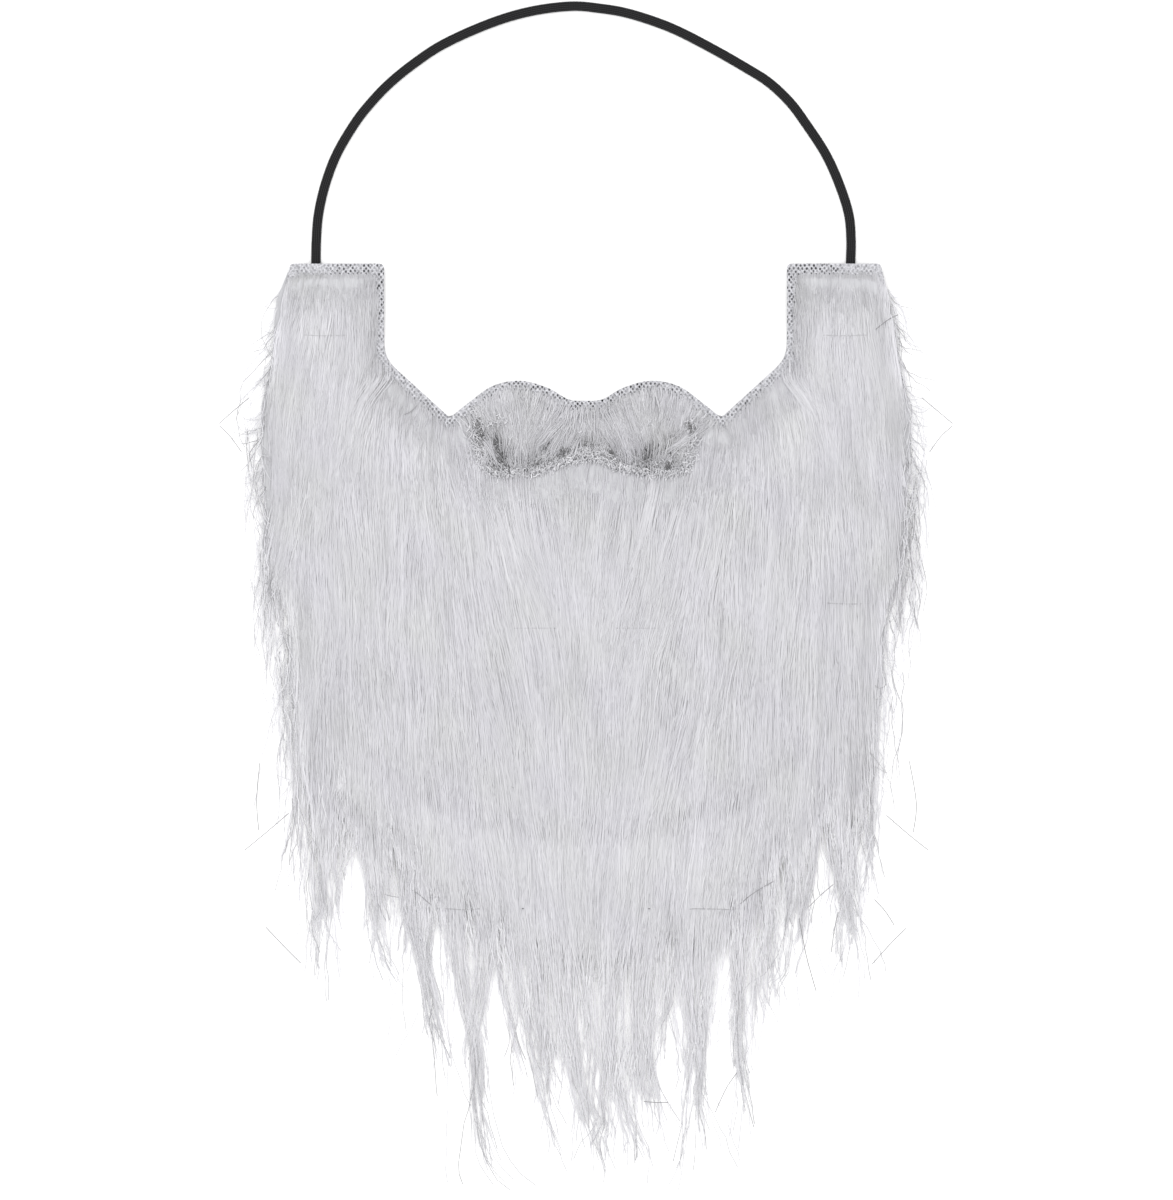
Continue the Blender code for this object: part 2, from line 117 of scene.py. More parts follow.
# Where the fur lies close, in photo places: the right side from the tab down to the middle of the
# fringe, and the left side from there up to the tab. Outside it only single strands are left
SOLID_RIGHT = [
    (889, 300), (899, 364), (909, 404), (911, 444), (906, 504), (908, 544), (899, 584), (884, 604),
    (883, 684), (876, 724), (865, 804), (861, 826), (855, 862), (848, 884), (842, 862), (837, 826),
    (826, 812), (817, 826), (805, 862), (797, 884), (789, 862), (783, 850), (777, 866), (771, 905),
    (765, 945), (748, 988), (741, 950), (735, 934), (727, 946), (712, 985), (700, 1040),
    (693, 1066), (688, 1020), (682, 984), (674, 972), (667, 986), (656, 1000), (648, 1045),
    (640, 1080), (625, 1068), (602, 1045), (593, 1002), (585, 984),
]
SOLID_LEFT = [
    (578, 1002), (572, 1062), (561, 1050), (548, 1022), (520, 1012), (513, 985), (509, 950),
    (501, 934), (493, 948), (486, 992), (472, 968), (455, 950), (446, 925), (438, 906), (425, 926),
    (412, 904), (414, 864), (401, 860), (394, 848), (388, 862), (384, 874), (376, 886), (366, 862),
    (353, 824), (344, 818), (334, 850), (326, 884), (316, 850), (306, 804), (300, 744), (296, 724),
    (289, 684), (288, 604), (270, 584), (262, 544), (265, 504), (261, 444), (262, 404), (272, 364),
    (277, 300),
]

# The pile's upper surface: its greatest height, how far in from an edge it has risen to that, how
# much of it is missing at the mouth and at the fringe's end, and how high its streaks are
PILE_DEPTH, PILE_RISE, MOUTH_DIP, FRINGE_DIP, STREAK_HEIGHT = 0.0104, 0.034, 0.74, 0.80, 0.0010
# How far the close mat lies under that surface, and how thick it is where the pile has no depth
MAT_UNDER_HAIR, MAT_LEAST = 0.0008, 0.0003
# How far the sheet of the cloth lies under the loops of its knit
SHEET_UNDER_LOOPS = 0.00045
# The lowest that the middle of a hair lies
HAIR_FLOOR = 0.0005
# How far each hair is shaded by its own face, where the rest is the fur's level surface
FACE_SHARE = 0.35
# Lightness and warmth go into the map from this margin on, over this span and with this step aside
MAP_MARGIN, MAP_SPAN, MAP_STEP = 0.01, 0.98, 0.003
# Painted light and shade in the fur's lightness: the shadow under the mouth, light on the fringe
# and its ends, shade on the strip along the tabs' tops, light on the beard's edges and the shade in
# the mouth's dark places
CHIN_DOWN, CHIN_SHADE = 0.086, 0.075
FRINGE_LIGHT, END_LIGHT, TOP_SHADE, EDGE_LIGHT, MOUTH_SHADE = 0.035, 0.100, 0.055, 0.15, 0.30
# Warmth of a hair, from 0 to 1: the usual, and that of the mouth's curls and the thin places
PLAIN_TINT, WARM_TINT = 0.3, 0.4

# Widths of the ribbons that stand for hairs
TAB_HAIR, CHEEK_HAIR, BORDER_HAIR = 0.00034, 0.00038, 0.00026
ROOTED_HAIR, LAID_HAIR = 0.00038, 0.00034
TRESS_HAIR, SINGLE_HAIR, THIN_HAIR, LOCK_HAIR = 0.00032, 0.00034, 0.00024, 0.00028
MOUSTACHE_HAIR, CURL_HAIR, EDGE_HAIR, STRAY_HAIR = 0.00030, 0.00034, 0.00026, 0.00030
# Seeds of the random draws
FACE_SEED, BODY_SEED, FRINGE_SEED, MOUSTACHE_SEED, EDGE_SEED = 101, 202, 303, 404, 505

# The side edge of the close fur, the same on both sides: across and down in mm
SIDE_EDGE = [(124, 0), (128.5, 15), (132, 42), (135.5, 59), (136.5, 76), (135, 101), (136, 118),
             (132, 134), (125, 143), (125, 176), (122, 193), (117.5, 210), (117, 235), (110, 255)]
# How far down from the tab tops the longest hair may reach
LOWEST_HAIR = 0.3935
# How far out single hairs reach: across and down in mm
HAIR_REACH = [(141, 0), (147, 34), (151, 60), (148, 100), (143, 143), (137, 210), (126, 260),
              (112, 300)]

# The tresses of the fringe: points of the middle line in the photo, then its width there in
# photo pixels at the top, and how many hairs it has
TRESSES = [
    ([(302, 740), (300, 797), (291, 855), (278, 900)], 30, 16),
    ([(318, 760), (326, 826), (322, 874), (324, 908), (319, 928), (317, 982)], 30, 47),
    ([(360, 780), (352, 834), (337, 874), (330, 935)], 16, 10),
    ([(348, 780), (356, 826), (372, 890), (384, 943)], 14, 16),
    ([(375, 780), (377, 830), (381, 903), (384, 943), (390, 975), (404, 1004)], 26, 59),
    ([(398, 790), (402, 860), (412, 925), (427, 965), (434, 1008), (440, 1050)], 16, 31),
    ([(420, 800), (424, 880), (425, 930), (431, 975), (441, 1030), (458, 1110)], 30, 59),
    ([(444, 860), (440, 903), (430, 950), (432, 1010), (425, 1060)], 12, 10),
    ([(452, 860), (455, 925), (464, 1000), (476, 1050), (479, 1114), (487, 1161), (511, 1192)],
     24, 52),
    ([(496, 880), (494, 936), (486, 991), (478, 1050), (481, 1110), (490, 1166)], 26, 47),
    ([(512, 900), (516, 980), (528, 1036), (540, 1103), (546, 1121), (563, 1180)], 28, 47),
    ([(538, 920), (541, 1010), (545, 1081), (547, 1118)], 26, 55),
    ([(556, 930), (558, 1010), (572, 1058), (581, 1103), (585, 1163)], 24, 47),
    ([(572, 940), (575, 1030), (586, 1098), (596, 1143), (601, 1168), (595, 1196)], 22, 41),
    ([(598, 940), (606, 1030), (602, 1092), (605, 1125), (600, 1145), (609, 1181)], 26, 43),
    ([(612, 940), (612, 1050), (626, 1112), (637, 1148), (640, 1183)], 26, 40),
    ([(634, 920), (632, 1040), (642, 1108), (652, 1166)], 28, 46),
    ([(652, 900), (645, 1000), (648, 1070), (665, 1152)], 22, 41),
    ([(664, 900), (662, 1000), (667, 1052), (659, 1098)], 12, 10),
    ([(684, 890), (686, 985), (694, 1036), (698, 1075), (700, 1120), (708, 1172)], 26, 55),
    ([(708, 890), (706, 980), (698, 1060), (692, 1114), (683, 1162), (664, 1190)], 20, 43),
    ([(700, 980), (700, 1072), (715, 1112), (730, 1172)], 8, 10),
    ([(736, 880), (738, 980), (737, 1036), (741, 1070), (748, 1099), (759, 1150)], 26, 47),
    ([(752, 900), (746, 960), (736, 1010), (722, 1050)], 16, 18),
    ([(760, 870), (766, 922), (756, 985), (764, 1030)], 20, 28),
    ([(770, 850), (768, 922), (774, 983), (774, 1012)], 22, 34),
    ([(795, 790), (797, 874), (791, 922), (786, 969), (776, 984), (775, 1010)], 26, 58),
    ([(812, 790), (812, 850), (803, 900), (816, 985)], 18, 10),
    ([(822, 780), (822, 850), (836, 878), (841, 912), (833, 948)], 18, 16),
    ([(848, 760), (842, 845), (847, 893), (853, 922), (856, 975), (851, 989)], 30, 47),
    ([(868, 740), (870, 800), (880, 855), (893, 900)], 26, 16),
    ([(876, 740), (874, 800), (868, 860), (868, 915)], 18, 13),
]

# Where the fringe is thin and the ground shows: photo place, half width and half height in pixels
THIN_PLACES = [
    (585, 1000, 5, 50), (671, 965, 5, 34), (709, 988, 8, 26), (735, 934, 6, 44), (758, 952, 8, 26),
    (779, 896, 6, 36), (434, 900, 4, 24), (415, 856, 5, 32), (390, 826, 4, 30), (469, 928, 6, 44),
    (500, 940, 6, 40), (528, 992, 7, 28), (626, 1050, 18, 44), (556, 1030, 8, 34),
    (340, 776, 4, 30), (322, 806, 4, 24), (346, 815, 6, 30), (832, 806, 6, 34), (788, 850, 4, 34),
    (812, 802, 4, 24), (848, 830, 5, 30), (648, 1000, 5, 40), (606, 1020, 5, 40),
]

# Single long hairs that lie loose on the beard or stand out of it: photo places along each one,
# its height above the surface in mm, and how dark it is from 0 to 1
STRAYS = [
    ([(289, 813), (268, 831), (245, 850)], 3, 0.6), ([(886, 815), (908, 834), (928, 850)], 3, 0.6),
    ([(260, 763), (257, 800), (259, 830)], 2, 0.6), ([(909, 761), (916, 803), (913, 832)], 2, 0.6),
    ([(266, 927), (285, 947), (301, 963)], 1, 0.6), ([(906, 928), (889, 945), (872, 964)], 1, 0.6),
    ([(405, 885), (418, 893), (431, 904)], 2, 0.55),
    ([(773, 881), (752, 893), (740, 903)], 2, 0.55), ([(385, 894), (392, 896), (399, 897)], 2, 0.5),
    ([(445, 908), (462, 909), (480, 908)], 2, 0.44),
    ([(689, 909), (695, 908), (734, 909)], 2, 0.46), ([(809, 906), (820, 895), (833, 884)], 3, 0.6),
    ([(220, 426), (231, 437), (242, 452)], 4, 0.6), ([(952, 426), (940, 437), (929, 452)], 4, 0.6),
    ([(220, 424), (232, 413), (250, 398)], 4, 0.6), ([(952, 424), (939, 413), (921, 398)], 4, 0.6),
    ([(875, 330), (888, 320), (898, 315)], 2, 0.6),
    ([(644, 1101), (656, 1102), (668, 1102)], 2, 0.66),
    ([(715, 1112), (726, 1088), (737, 1072)], 2, 0.58),
    ([(831, 952), (834, 930), (838, 912)], 2, 0.58),
    ([(799, 918), (806, 955), (816, 991)], 2, 0.62), ([(874, 899), (885, 911), (894, 925)], 2, 0.6),
    ([(513, 628), (535, 628), (555, 628)], 2, 0.34),
    ([(617, 628), (636, 628), (658, 628)], 2, 0.34),
    ([(305, 336), (325, 337), (347, 336)], 2, 0.36),
    ([(822, 336), (843, 337), (866, 336)], 2, 0.36),
    ([(405, 415), (411, 412), (417, 406)], 2, 0.55),
    ([(826, 603), (850, 604), (877, 603)], 2, 0.42), ([(512, 786), (514, 787)], 2, 0.85),
    ([(522, 908), (524, 908)], 2, 0.9), ([(648, 908), (650, 908)], 2, 0.9),
    ([(554, 628), (556, 628)], 2, 0.7), ([(616, 628), (618, 628)], 2, 0.7),
]

# The mouth's painted shade, where its opening is shadowed: photo place, half width and half height
# in photo pixels, turn in degrees and how dark
MOUTH_SHADE_SPOTS = [
    (479, 433, 4, 13, 8, 1.0), (487, 435, 3, 8, 0, 0.8), (497, 438, 7, 13, 0, 1.0),
    (501, 456, 8, 13, -15, 1.0), (506, 466, 6, 5, -30, 0.8), (545, 441, 11, 8, 30, 0.85),
    (552, 445, 4, 12, 25, 0.7), (534, 461, 13, 5, 10, 0.55), (563, 452, 10, 4, 25, 1.0),
    (586, 441, 16, 6, 0, 0.75), (613, 449, 9, 10, 0, 0.7), (634, 453, 3, 5, 0, 0.7),
    (648, 452, 8, 16, -8, 1.0), (651, 465, 6, 5, 0, 0.9), (670, 437, 11, 4, 22, 1.0),
    (672, 450, 8, 4, 30, 0.9), (669, 464, 7, 5, 40, 0.8), (691, 425, 4, 5, 0, 0.8),
]
# Light locks that cross the mouth: photo places along each one, width and hairs
CROSSING = [
    ([(512, 410), (516, 430), (519, 452), (523, 482)], 18, 110),
    ([(556, 424), (542, 440), (529, 456)], 8, 60), ([(566, 424), (554, 446), (544, 466)], 6, 50),
    ([(608, 410), (622, 440), (631, 474)], 6, 70), ([(626, 405), (634, 430), (642, 456)], 5, 60),
    ([(706, 428), (682, 443), (661, 459), (653, 476)], 9, 55),
    ([(470, 430), (486, 446), (494, 462), (504, 480)], 5, 40),
    ([(690, 440), (674, 452), (662, 466)], 5, 24), ([(700, 424), (684, 430), (668, 446)], 4, 16),
    ([(596, 414), (598, 432), (600, 452)], 8, 40), ([(574, 414), (572, 432), (566, 448)], 8, 40),
]

# Raised locks that stand out on the beard, painted a little lighter as a highlight
LIGHT_LOCKS = [
    ([(379, 379), (358, 412), (351, 440), (347, 476)], 12, 60),
    ([(792, 379), (813, 412), (820, 440), (824, 476)], 12, 60),
    ([(519, 484), (525, 530), (534, 570), (552, 610)], 12, 70),
    ([(653, 484), (646, 520), (637, 555), (622, 600)], 12, 70),
    ([(493, 500), (505, 540), (514, 580), (519, 640)], 10, 40),
    ([(680, 500), (668, 540), (657, 580), (652, 640)], 10, 40),
]


def spot(x, y):
    """The (across, down) of a place in the photograph."""
    return (x - MIDDLE_X) * PIXEL, (y - TAB_TOP_Y) * PIXEL


def spots(places):
    """The same for a list of places."""
    return np.array([spot(x, y) for x, y in places])


def smooth(points, per_span=4):
    """Points on a smooth curve through the given ones."""
    points = np.asarray(points, float)
    count = len(points)
    curve = []
    for span in range(count - 1):
        a, b, c, d = (points[min(max(span + offset, 0), count - 1)] for offset in (-1, 0, 1, 2))
        for step in range(per_span):
            t = step / per_span
            bend = 2 * b + (c - a) * t + (2 * a - 5 * b + 4 * c - d) * t**2
            curve.append((bend + (3 * b - a - 3 * c + d) * t**3) / 2)
    curve.append(points[-1])
    return np.array(curve)


def fillet(before, corner, after, radius, steps=6):
    """A rounded corner between two straight edges."""
    before, corner, after = (np.asarray(point, float) for point in (before, corner, after))
    start = corner + (before - corner) / np.linalg.norm(before - corner) * radius
    end = corner + (after - corner) / np.linalg.norm(after - corner) * radius
    share = np.linspace(0, 1, steps + 1)[:, None]
    return start * (1 - share)**2 + corner * 2 * share * (1 - share) + end * share**2


def face_edge():
    """Half of the edge round the face, from the moustache's middle to the tab's outer corner."""
    hump = smooth(HUMP, 8)
    corner, inner, outer = (TAB_INNER, TAB_CORNER_DOWN), (TAB_INNER, 0.0), (TAB_OUTER, 0.0)
    side = (TAB_OUTER + 0.002, 0.02)
    return np.vstack([hump, fillet(hump[-1], corner, inner, 0.006),
                      fillet(corner, inner, outer, 0.002), fillet(inner, outer, side, 0.002)])


def mirrored(half):
    """A half outline that starts and ends on the middle line, made whole."""
    return np.vstack([half, half[-2:0:-1] * (-1, 1)])


FACE_EDGE = face_edge()
CLOTH = mirrored(np.vstack([FACE_EDGE, smooth(CLOTH_SIDE, 6)]))
SLOT = mirrored(smooth(MOUTH, 4))
SLOT_EDGE = np.vstack([SLOT, SLOT[:1]])
SOLID = np.vstack([FACE_EDGE, spots(SOLID_RIGHT), spots(SOLID_LEFT), FACE_EDGE[:0:-1] * (-1, 1)])
SOLID_EDGE = np.vstack([SOLID, SOLID[:1]])


def inside(points, outline):
    """Which points lie inside a closed outline."""
    found = np.zeros(len(points), bool)
    for start, end in zip(outline, np.roll(outline, -1, axis=0)):
        above = (start[1] > points[:, 1]) != (end[1] > points[:, 1])
        rise = end[1] - start[1]
        if rise:
            reach = start[0] + (points[:, 1] - start[1]) / rise * (end[0] - start[0])
            found ^= above & (points[:, 0] < reach)
    return found


def nearest(points, line):
    """For each point, its distance from a line of points and the nearest place on it."""
    best = np.full(len(points), np.inf)
    place = np.zeros((len(points), 2))
    for start, end in zip(line, line[1:]):
        run = end - start
        share = np.clip((points - start) @ run / max(run @ run, 1e-12), 0, 1)
        at = start + share[:, None] * run
        gap = np.linalg.norm(points - at, axis=1)
        closer = gap < best
        best[closer], place[closer] = gap[closer], at[closer]
    return best, place


def folded(points):
    """The points brought to the side where across is positive."""
    return np.stack([np.abs(points[:, 0]), points[:, 1]], 1)


def edge_gap(points):
    """How far inside the edge of the close fur these places are; less than zero outside it."""
    flat = points.reshape(-1, 2)
    gap = nearest(flat, SOLID_EDGE)[0]
    return np.where(inside(flat, SOLID), gap, -gap).reshape(points.shape[:-1])


def across_at(down, rows, per_metre=1):
    """How far across the (across, down) rows of a side's line lie at these distances down."""
    across, places = np.array(rows).T / per_metre
    return np.interp(down, places, across)


def ramp(value, low, high):
    """From 0 at low to 1 at high, with soft ends."""
    share = np.clip((value - low) / (high - low), 0, 1)
    return share * share * (3 - 2 * share)


def waves(seed, size, count=9):
    """A smooth random field of points that gives about -1 to 1, with hills this far apart."""
    random = np.random.default_rng(seed)
    turn = random.uniform(0, math.tau, count)
    pace = random.uniform(0.6, 1.5, count) * math.tau / size
    across, down = np.cos(turn) * pace, np.sin(turn) * pace
    phase = random.uniform(0, math.tau, count)

    def field(points):
        angle = points[..., :1] * across + points[..., 1:2] * down + phase
        return np.sin(angle).sum(-1) / math.sqrt(count / 2) / 1.6

    return field


def table_field(rows, reach):
    """A smooth field through rows of (across, down, value), in mm, for points on either side."""
    rows = np.array(rows, float)
    places, values = rows[:, :2] / 1000, rows[:, 2]

    def field(points):
        gap = np.stack([np.abs(points[:, :1]) - places[:, 0], points[:, 1:] - places[:, 1]], -1)
        weight = 1 / ((gap**2).sum(-1) + reach**2)**2
        return weight @ values / weight.sum(1)

    return field


pile_lie, moustache_lie = table_field(LIE, LIE_REACH), table_field(MOUSTACHE_LIE, MOUSTACHE_REACH)
drift, ripple = waves(11, 0.050), waves(12, 0.010)
patch, streak = waves(13, 0.045), waves(14, 0.020)


def lie(points):
    """The angle of the pile from straight down, towards positive across, in radians."""
    angle = np.radians(pile_lie(points))
    middle = np.tanh(points[:, 0] / 0.004)
    return angle * middle + np.radians(3.5) * drift(points) + np.radians(6.0) * ripple(points)


def lie_of_moustache(points):
    """The same for the moustache."""
    angle = np.radians(moustache_lie(points))
    return angle * np.tanh(points[:, 0] / 0.004) + np.radians(10.0) * ripple(points)


def lifted(down):
    """The height of the cloth's underside, this far below the tab tops."""
    return np.interp(down, *zip(*LIFT))


def ground_height(points):
    """The height of what the pile stands on: the cloth, or the floor beyond the cloth's edge."""
    down = points[..., 1]
    past = np.abs(points[..., 0]) - across_at(down, CLOTH_SIDE)
    cover = ramp(past, 0.0050, -0.0010) * ramp(down, 0.250, 0.232)
    return lifted(down) + CLOTH_TOP * cover


def mouth_line(across):
    """How far down the line lies that parts the moustache from the hair under it."""
    return np.interp(across, [0.0, 0.030, 0.0432, NOTCH[0]], [0.0745, 0.0745, 0.0720, NOTCH[1]])


def pile_height(points, gap=None):
    """The height of the fur's upper surface; gap is what edge_gap() gives, where it is known."""
    shape = points.shape[:-1]
    flat = points.reshape(-1, 2)
    half = folded(flat)
    edge = nearest(half, FACE_EDGE)[0]
    edge[half[:, 1] > 0.2] = 1.0
    rim = ramp(across_at(half[:, 1], MAT_SIDE) - half[:, 0], -0.003, PILE_RISE)
    gap = edge_gap(flat) if gap is None else gap.ravel()
    lip = nearest(half, SLOT_EDGE)[0] * ~inside(half, SLOT)
    under_mouth = ramp(half[:, 1] - mouth_line(half[:, 0]), -0.012, 0.008)
    swell = PILE_DEPTH * ramp(edge, 0.0, PILE_RISE)**0.8 * (0.30 + 0.70 * rim)
    swell *= 1 - MOUTH_DIP * under_mouth * ramp(lip, 0.016, 0.0)
    swell += STREAK_HEIGHT * streak(half * (1.0, 0.35)) * ramp(edge, 0.006, 0.03)
    swell *= 1 - FRINGE_DIP * ramp(half[:, 1], 0.205, 0.310)
    least = 0.25 + 0.30 * ramp(half[:, 1], 0.190, 0.230)
    swell *= least + (1 - least) * np.maximum(ramp(gap, 0.0, 0.012), ramp(edge, 0.020, 0.0))
    surface = 0.0004 + ground_height(half) + swell
    return (surface * np.exp(np.minimum(gap, 0) / 0.012)).reshape(shape)


def spot_field(rows, points):
    """The strongest of some round soft spots at these places; each row ends with its depth."""
    flat = points.reshape(-1, 2)
    total = np.zeros(len(flat))
    for x, y, wide, tall, turn, depth in rows:
        gap = (flat - spot(x, y)) / PIXEL
        angle = math.radians(turn)
        along = gap[:, 0] * math.cos(angle) - gap[:, 1] * math.sin(angle)
        upward = gap[:, 0] * math.sin(angle) + gap[:, 1] * math.cos(angle)
        total = np.maximum(total, depth * np.exp(-((along / wide)**2 + (upward / tall)**2)))
    return total.reshape(points.shape[:-1])


def thin_at(points):
    """How thin the low part of the fringe is at these places, 0 to 1."""
    rows = [row + (0, 1.0) for row in THIN_PLACES]
    return spot_field(rows, points) * ramp(points[..., 1], 0.240, 0.265)


def mouth_shade_at(points):
    """How much painted shade the mouth has at these places, 0 to 1."""
    return spot_field(MOUTH_SHADE_SPOTS, points)


def under_height(points, gap=None):
    """The height of the close mat that carries the visible hair."""
    return pile_height(points, gap) - MAT_UNDER_HAIR


def grow(roots, lengths, steps, angle_at, turn, random, wobble):
    """Middle lines that follow the lie of the pile from their roots, as (hairs, steps + 1, 2)."""
    path = np.empty((len(roots), steps + 1, 2))
    path[:, 0] = roots
    pace = lengths / steps
    sway = np.zeros(len(roots))
    for step in range(steps):
        sway = 0.55 * sway + random.normal(0, wobble, len(roots))
        angle = angle_at(path[:, step]) + turn + sway
        path[:, step + 1] = path[:, step] + pace[:, None] * np.stack(
            [np.sin(angle), np.cos(angle)], 1)
    return path


def drawn_together(path, leaders, strength, power):
    """Draws each hair towards the hair of the nearest leader, more and more towards its tip."""
    tree = kdtree.KDTree(len(leaders))
    for index, point in enumerate(leaders[:, 0]):
        tree.insert((point[0], point[1], 0), index)
    tree.balance()
    own = np.array([tree.find((x, y, 0))[1] for x, y in path[:, 0]])
    share = np.linspace(0, 1, path.shape[1])[None, :, None]
    pull = strength * share**power
    return path + (leaders[own] - path) * pull, own


def scattered(count, keep, random, low, high):
    """Random places in a box, kept with the chance that keep(points) gives."""
    kept = np.empty((0, 2))
    while len(kept) < count:
        points = random.uniform(low, high, (count * 2, 2))
        points = points[random.random(len(points)) < keep(points)]
        kept = np.vstack([kept, points])
    return kept[:count]


class Pile:
    """Many hairs as narrow ribbons, gathered into one mesh."""

    def __init__(self, name):
        self.name = name
        self.parts = []

    def add(self, path, height, width, roll, shade, tint):
        """path is (hairs, rings, 2); the others are (hairs, rings)."""
        line = np.empty(path.shape[:2] + (3,))
        line[..., 0] = path[..., 0]
        line[..., 1] = TOP_Y - path[..., 1]
        line[..., 2] = np.maximum(height, HAIR_FLOOR + width * 0.3)
        along = np.gradient(line, axis=1)
        along /= np.maximum(np.linalg.norm(along, axis=2, keepdims=True), 1e-9)
        side = np.cross(along, (0.0, 0.0, 1.0))
        side /= np.maximum(np.linalg.norm(side, axis=2, keepdims=True), 1e-9)
        rise = np.cross(side, along)
        half = side * np.cos(roll)[..., None] + rise * np.sin(roll)[..., None]
        half = half * width[..., None] / 2
        face = np.cross(half, along)
        face *= np.where(face[..., 2:] < 0, -1, 1) / np.linalg.norm(face, axis=2, keepdims=True)
        face = FACE_SHARE * face + (0.0, 0.0, 1 - FACE_SHARE)
        face = np.repeat(face[:, :, None], 2, 2)
        self.parts.append((np.stack([line - half, line + half], 2), face, shade, tint))

    def make(self, material):
        """The mesh of all the hairs, with its attributes, normals and map."""
        points, faces, quads, shades, tints, maps, start = [], [], [], [], [], [], 0
        for rim, face, shade, tint in self.parts:
            faces.append(face.reshape(-1, 3))
            hairs, rings = rim.shape[:2]
            index = start + np.arange(hairs * rings * 2).reshape(hairs, rings, 2)
            quads.append(np.stack([index[:, :-1, 0], index[:, :-1, 1], index[:, 1:, 1],
                                   index[:, 1:, 0]], -1).reshape(-1, 4))
            points.append(rim.reshape(-1, 3))
            shade = np.clip(np.repeat(shade[..., None], 2, 2), 0, 1)
            tint = np.clip(np.repeat(tint[..., None], 2, 2), 0, 1)
            sway = np.array([-MAP_STEP, MAP_STEP])
            step = MAP_STEP * (np.arange(rings) % 2)[None, :, None]
            maps.append(np.stack([MAP_MARGIN + MAP_SPAN * shade + sway,
                                  MAP_MARGIN + MAP_SPAN * tint + step], -1).reshape(-1, 2))
            shades.append(shade.ravel())
            tints.append(tint.ravel())
            start += hairs * rings * 2
        points, quads = np.concatenate(points), np.concatenate(quads)
        made = mesh_object(self.name, points, quads, material)
        for name, values in (("shade", shades), ("tint", tints)):
            set_values(made, name, np.concatenate(values))
        set_normals(made, np.concatenate(faces))
        set_map(made, "OFBake", np.concatenate(maps)[quads.ravel()])
        return made


def mesh_object(name, points, quads, material):
    """A mesh of four-cornered faces, shaded smooth, linked to the scene."""
    mesh = bpy.data.meshes.new(name)
    mesh.vertices.add(len(points))
    mesh.vertices.foreach_set("co", np.asarray(points, np.float32).ravel())
    mesh.loops.add(len(quads) * 4)
    mesh.loops.foreach_set("vertex_index", np.asarray(quads, np.int32).ravel())
    mesh.polygons.add(len(quads))
    mesh.polygons.foreach_set("loop_start", np.arange(0, len(quads) * 4, 4, dtype=np.int32))
    mesh.update(calc_edges=True)
    mesh.shade_smooth()
    mesh.materials.append(material)
    made = bpy.data.objects.new(name, mesh)
    bpy.context.scene.collection.objects.link(made)
    return made


def set_values(made, name, values):
    """One number for each point of a mesh, for its material to read."""
    layer = made.data.attributes.new(name, "FLOAT", "POINT")
    layer.data.foreach_set("value", values.astype(np.float32))


def set_normals(made, normals):
    """The directions that a mesh is shaded by, one for each point."""
    normals /= np.linalg.norm(normals, axis=1, keepdims=True)
    made.data.normals_split_custom_set_from_vertices(normals.tolist())


def set_map(made, name, places):
    """A flat map of a mesh, with one place for each corner of its faces."""
    layer = made.data.uv_layers.new(name=name)
    layer.data.foreach_set("uv", places.ravel().astype(np.float32))


def new_material(name, roughness, shine):
    """A material with its node tree and its shader."""
    made = bpy.data.materials.new(name)
    made.use_nodes = True
    shader = made.node_tree.nodes["Principled BSDF"]
    shader.inputs["Roughness"].default_value = roughness
    shader.inputs["Specular IOR Level"].default_value = shine
    return made, made.node_tree, shader


def add_node(tree, kind, **values):
    """A node with these settings, where a value that comes out of another node is linked."""
    node = tree.nodes.new(kind)
    for name, value in values.items():
        if name not in node.inputs:
            setattr(node, name, value)
        elif isinstance(value, bpy.types.NodeSocket):
            tree.links.new(value, node.inputs[name])
        else:
            node.inputs[name].default_value = value
    return node


def product(tree, first, second):
    """The product of two values."""
    node = add_node(tree, "ShaderNodeMath", operation="MULTIPLY")
    tree.links.new(first, node.inputs[0])
    tree.links.new(second, node.inputs[1])
    return node.outputs["Value"]


def colour_ramp(tree, source, stops):
    """A colour that goes with a value, through stops of (value, colour)."""
    node = add_node(tree, "ShaderNodeValToRGB", Fac=source)
    elements = node.color_ramp.elements
    while len(elements) < len(stops):
        elements.new(0.5)
    for element, (position, colour) in zip(elements, stops):
        element.position = position
        element.color = (*colour, 1.0)
    return node.outputs["Color"]


def mixed(tree, share, first, second):
    """A mix of two colours."""
    node = add_node(tree, "ShaderNodeMix", data_type="RGBA")
    tree.links.new(share, node.inputs[0])
    tree.links.new(first, node.inputs[6])
    tree.links.new(second, node.inputs[7])
    return node.outputs[2]


def add_relief(tree, shader, source, strength, distance):
    """Fine relief on a surface."""
    bump = add_node(tree, "ShaderNodeBump", Strength=strength, Distance=distance, Height=source)
    tree.links.new(bump.outputs["Normal"], shader.inputs["Normal"])


def fur_material():
    """Bright fibre: its lightness, with painted light and shade in it, and its warmth come from
    each hair.
    """
    made, tree, shader = new_material("white_fur", 0.55, 0.30)
    shade, tint = (add_node(tree, "ShaderNodeAttribute", attribute_name=name).outputs["Fac"]
                   for name in ("shade", "tint"))
    cool = colour_ramp(tree, shade, [
        (0.0, (0.02, 0.02, 0.022)), (0.4, (0.22, 0.216, 0.228)), (0.8, (0.545, 0.540, 0.572)),
        (1.0, (0.76, 0.755, 0.79))])
    warm = colour_ramp(tree, shade, [
        (0.0, (0.02, 0.02, 0.020)), (0.4, (0.22, 0.22, 0.218)), (0.8, (0.545, 0.548, 0.553)),
        (1.0, (0.76, 0.762, 0.765))])
    tree.links.new(mixed(tree, tint, cool, warm), shader.inputs["Base Color"])
    shader.inputs["Sheen Weight"].default_value = 0.10
    shader.inputs["Sheen Roughness"].default_value = 0.5
    return made


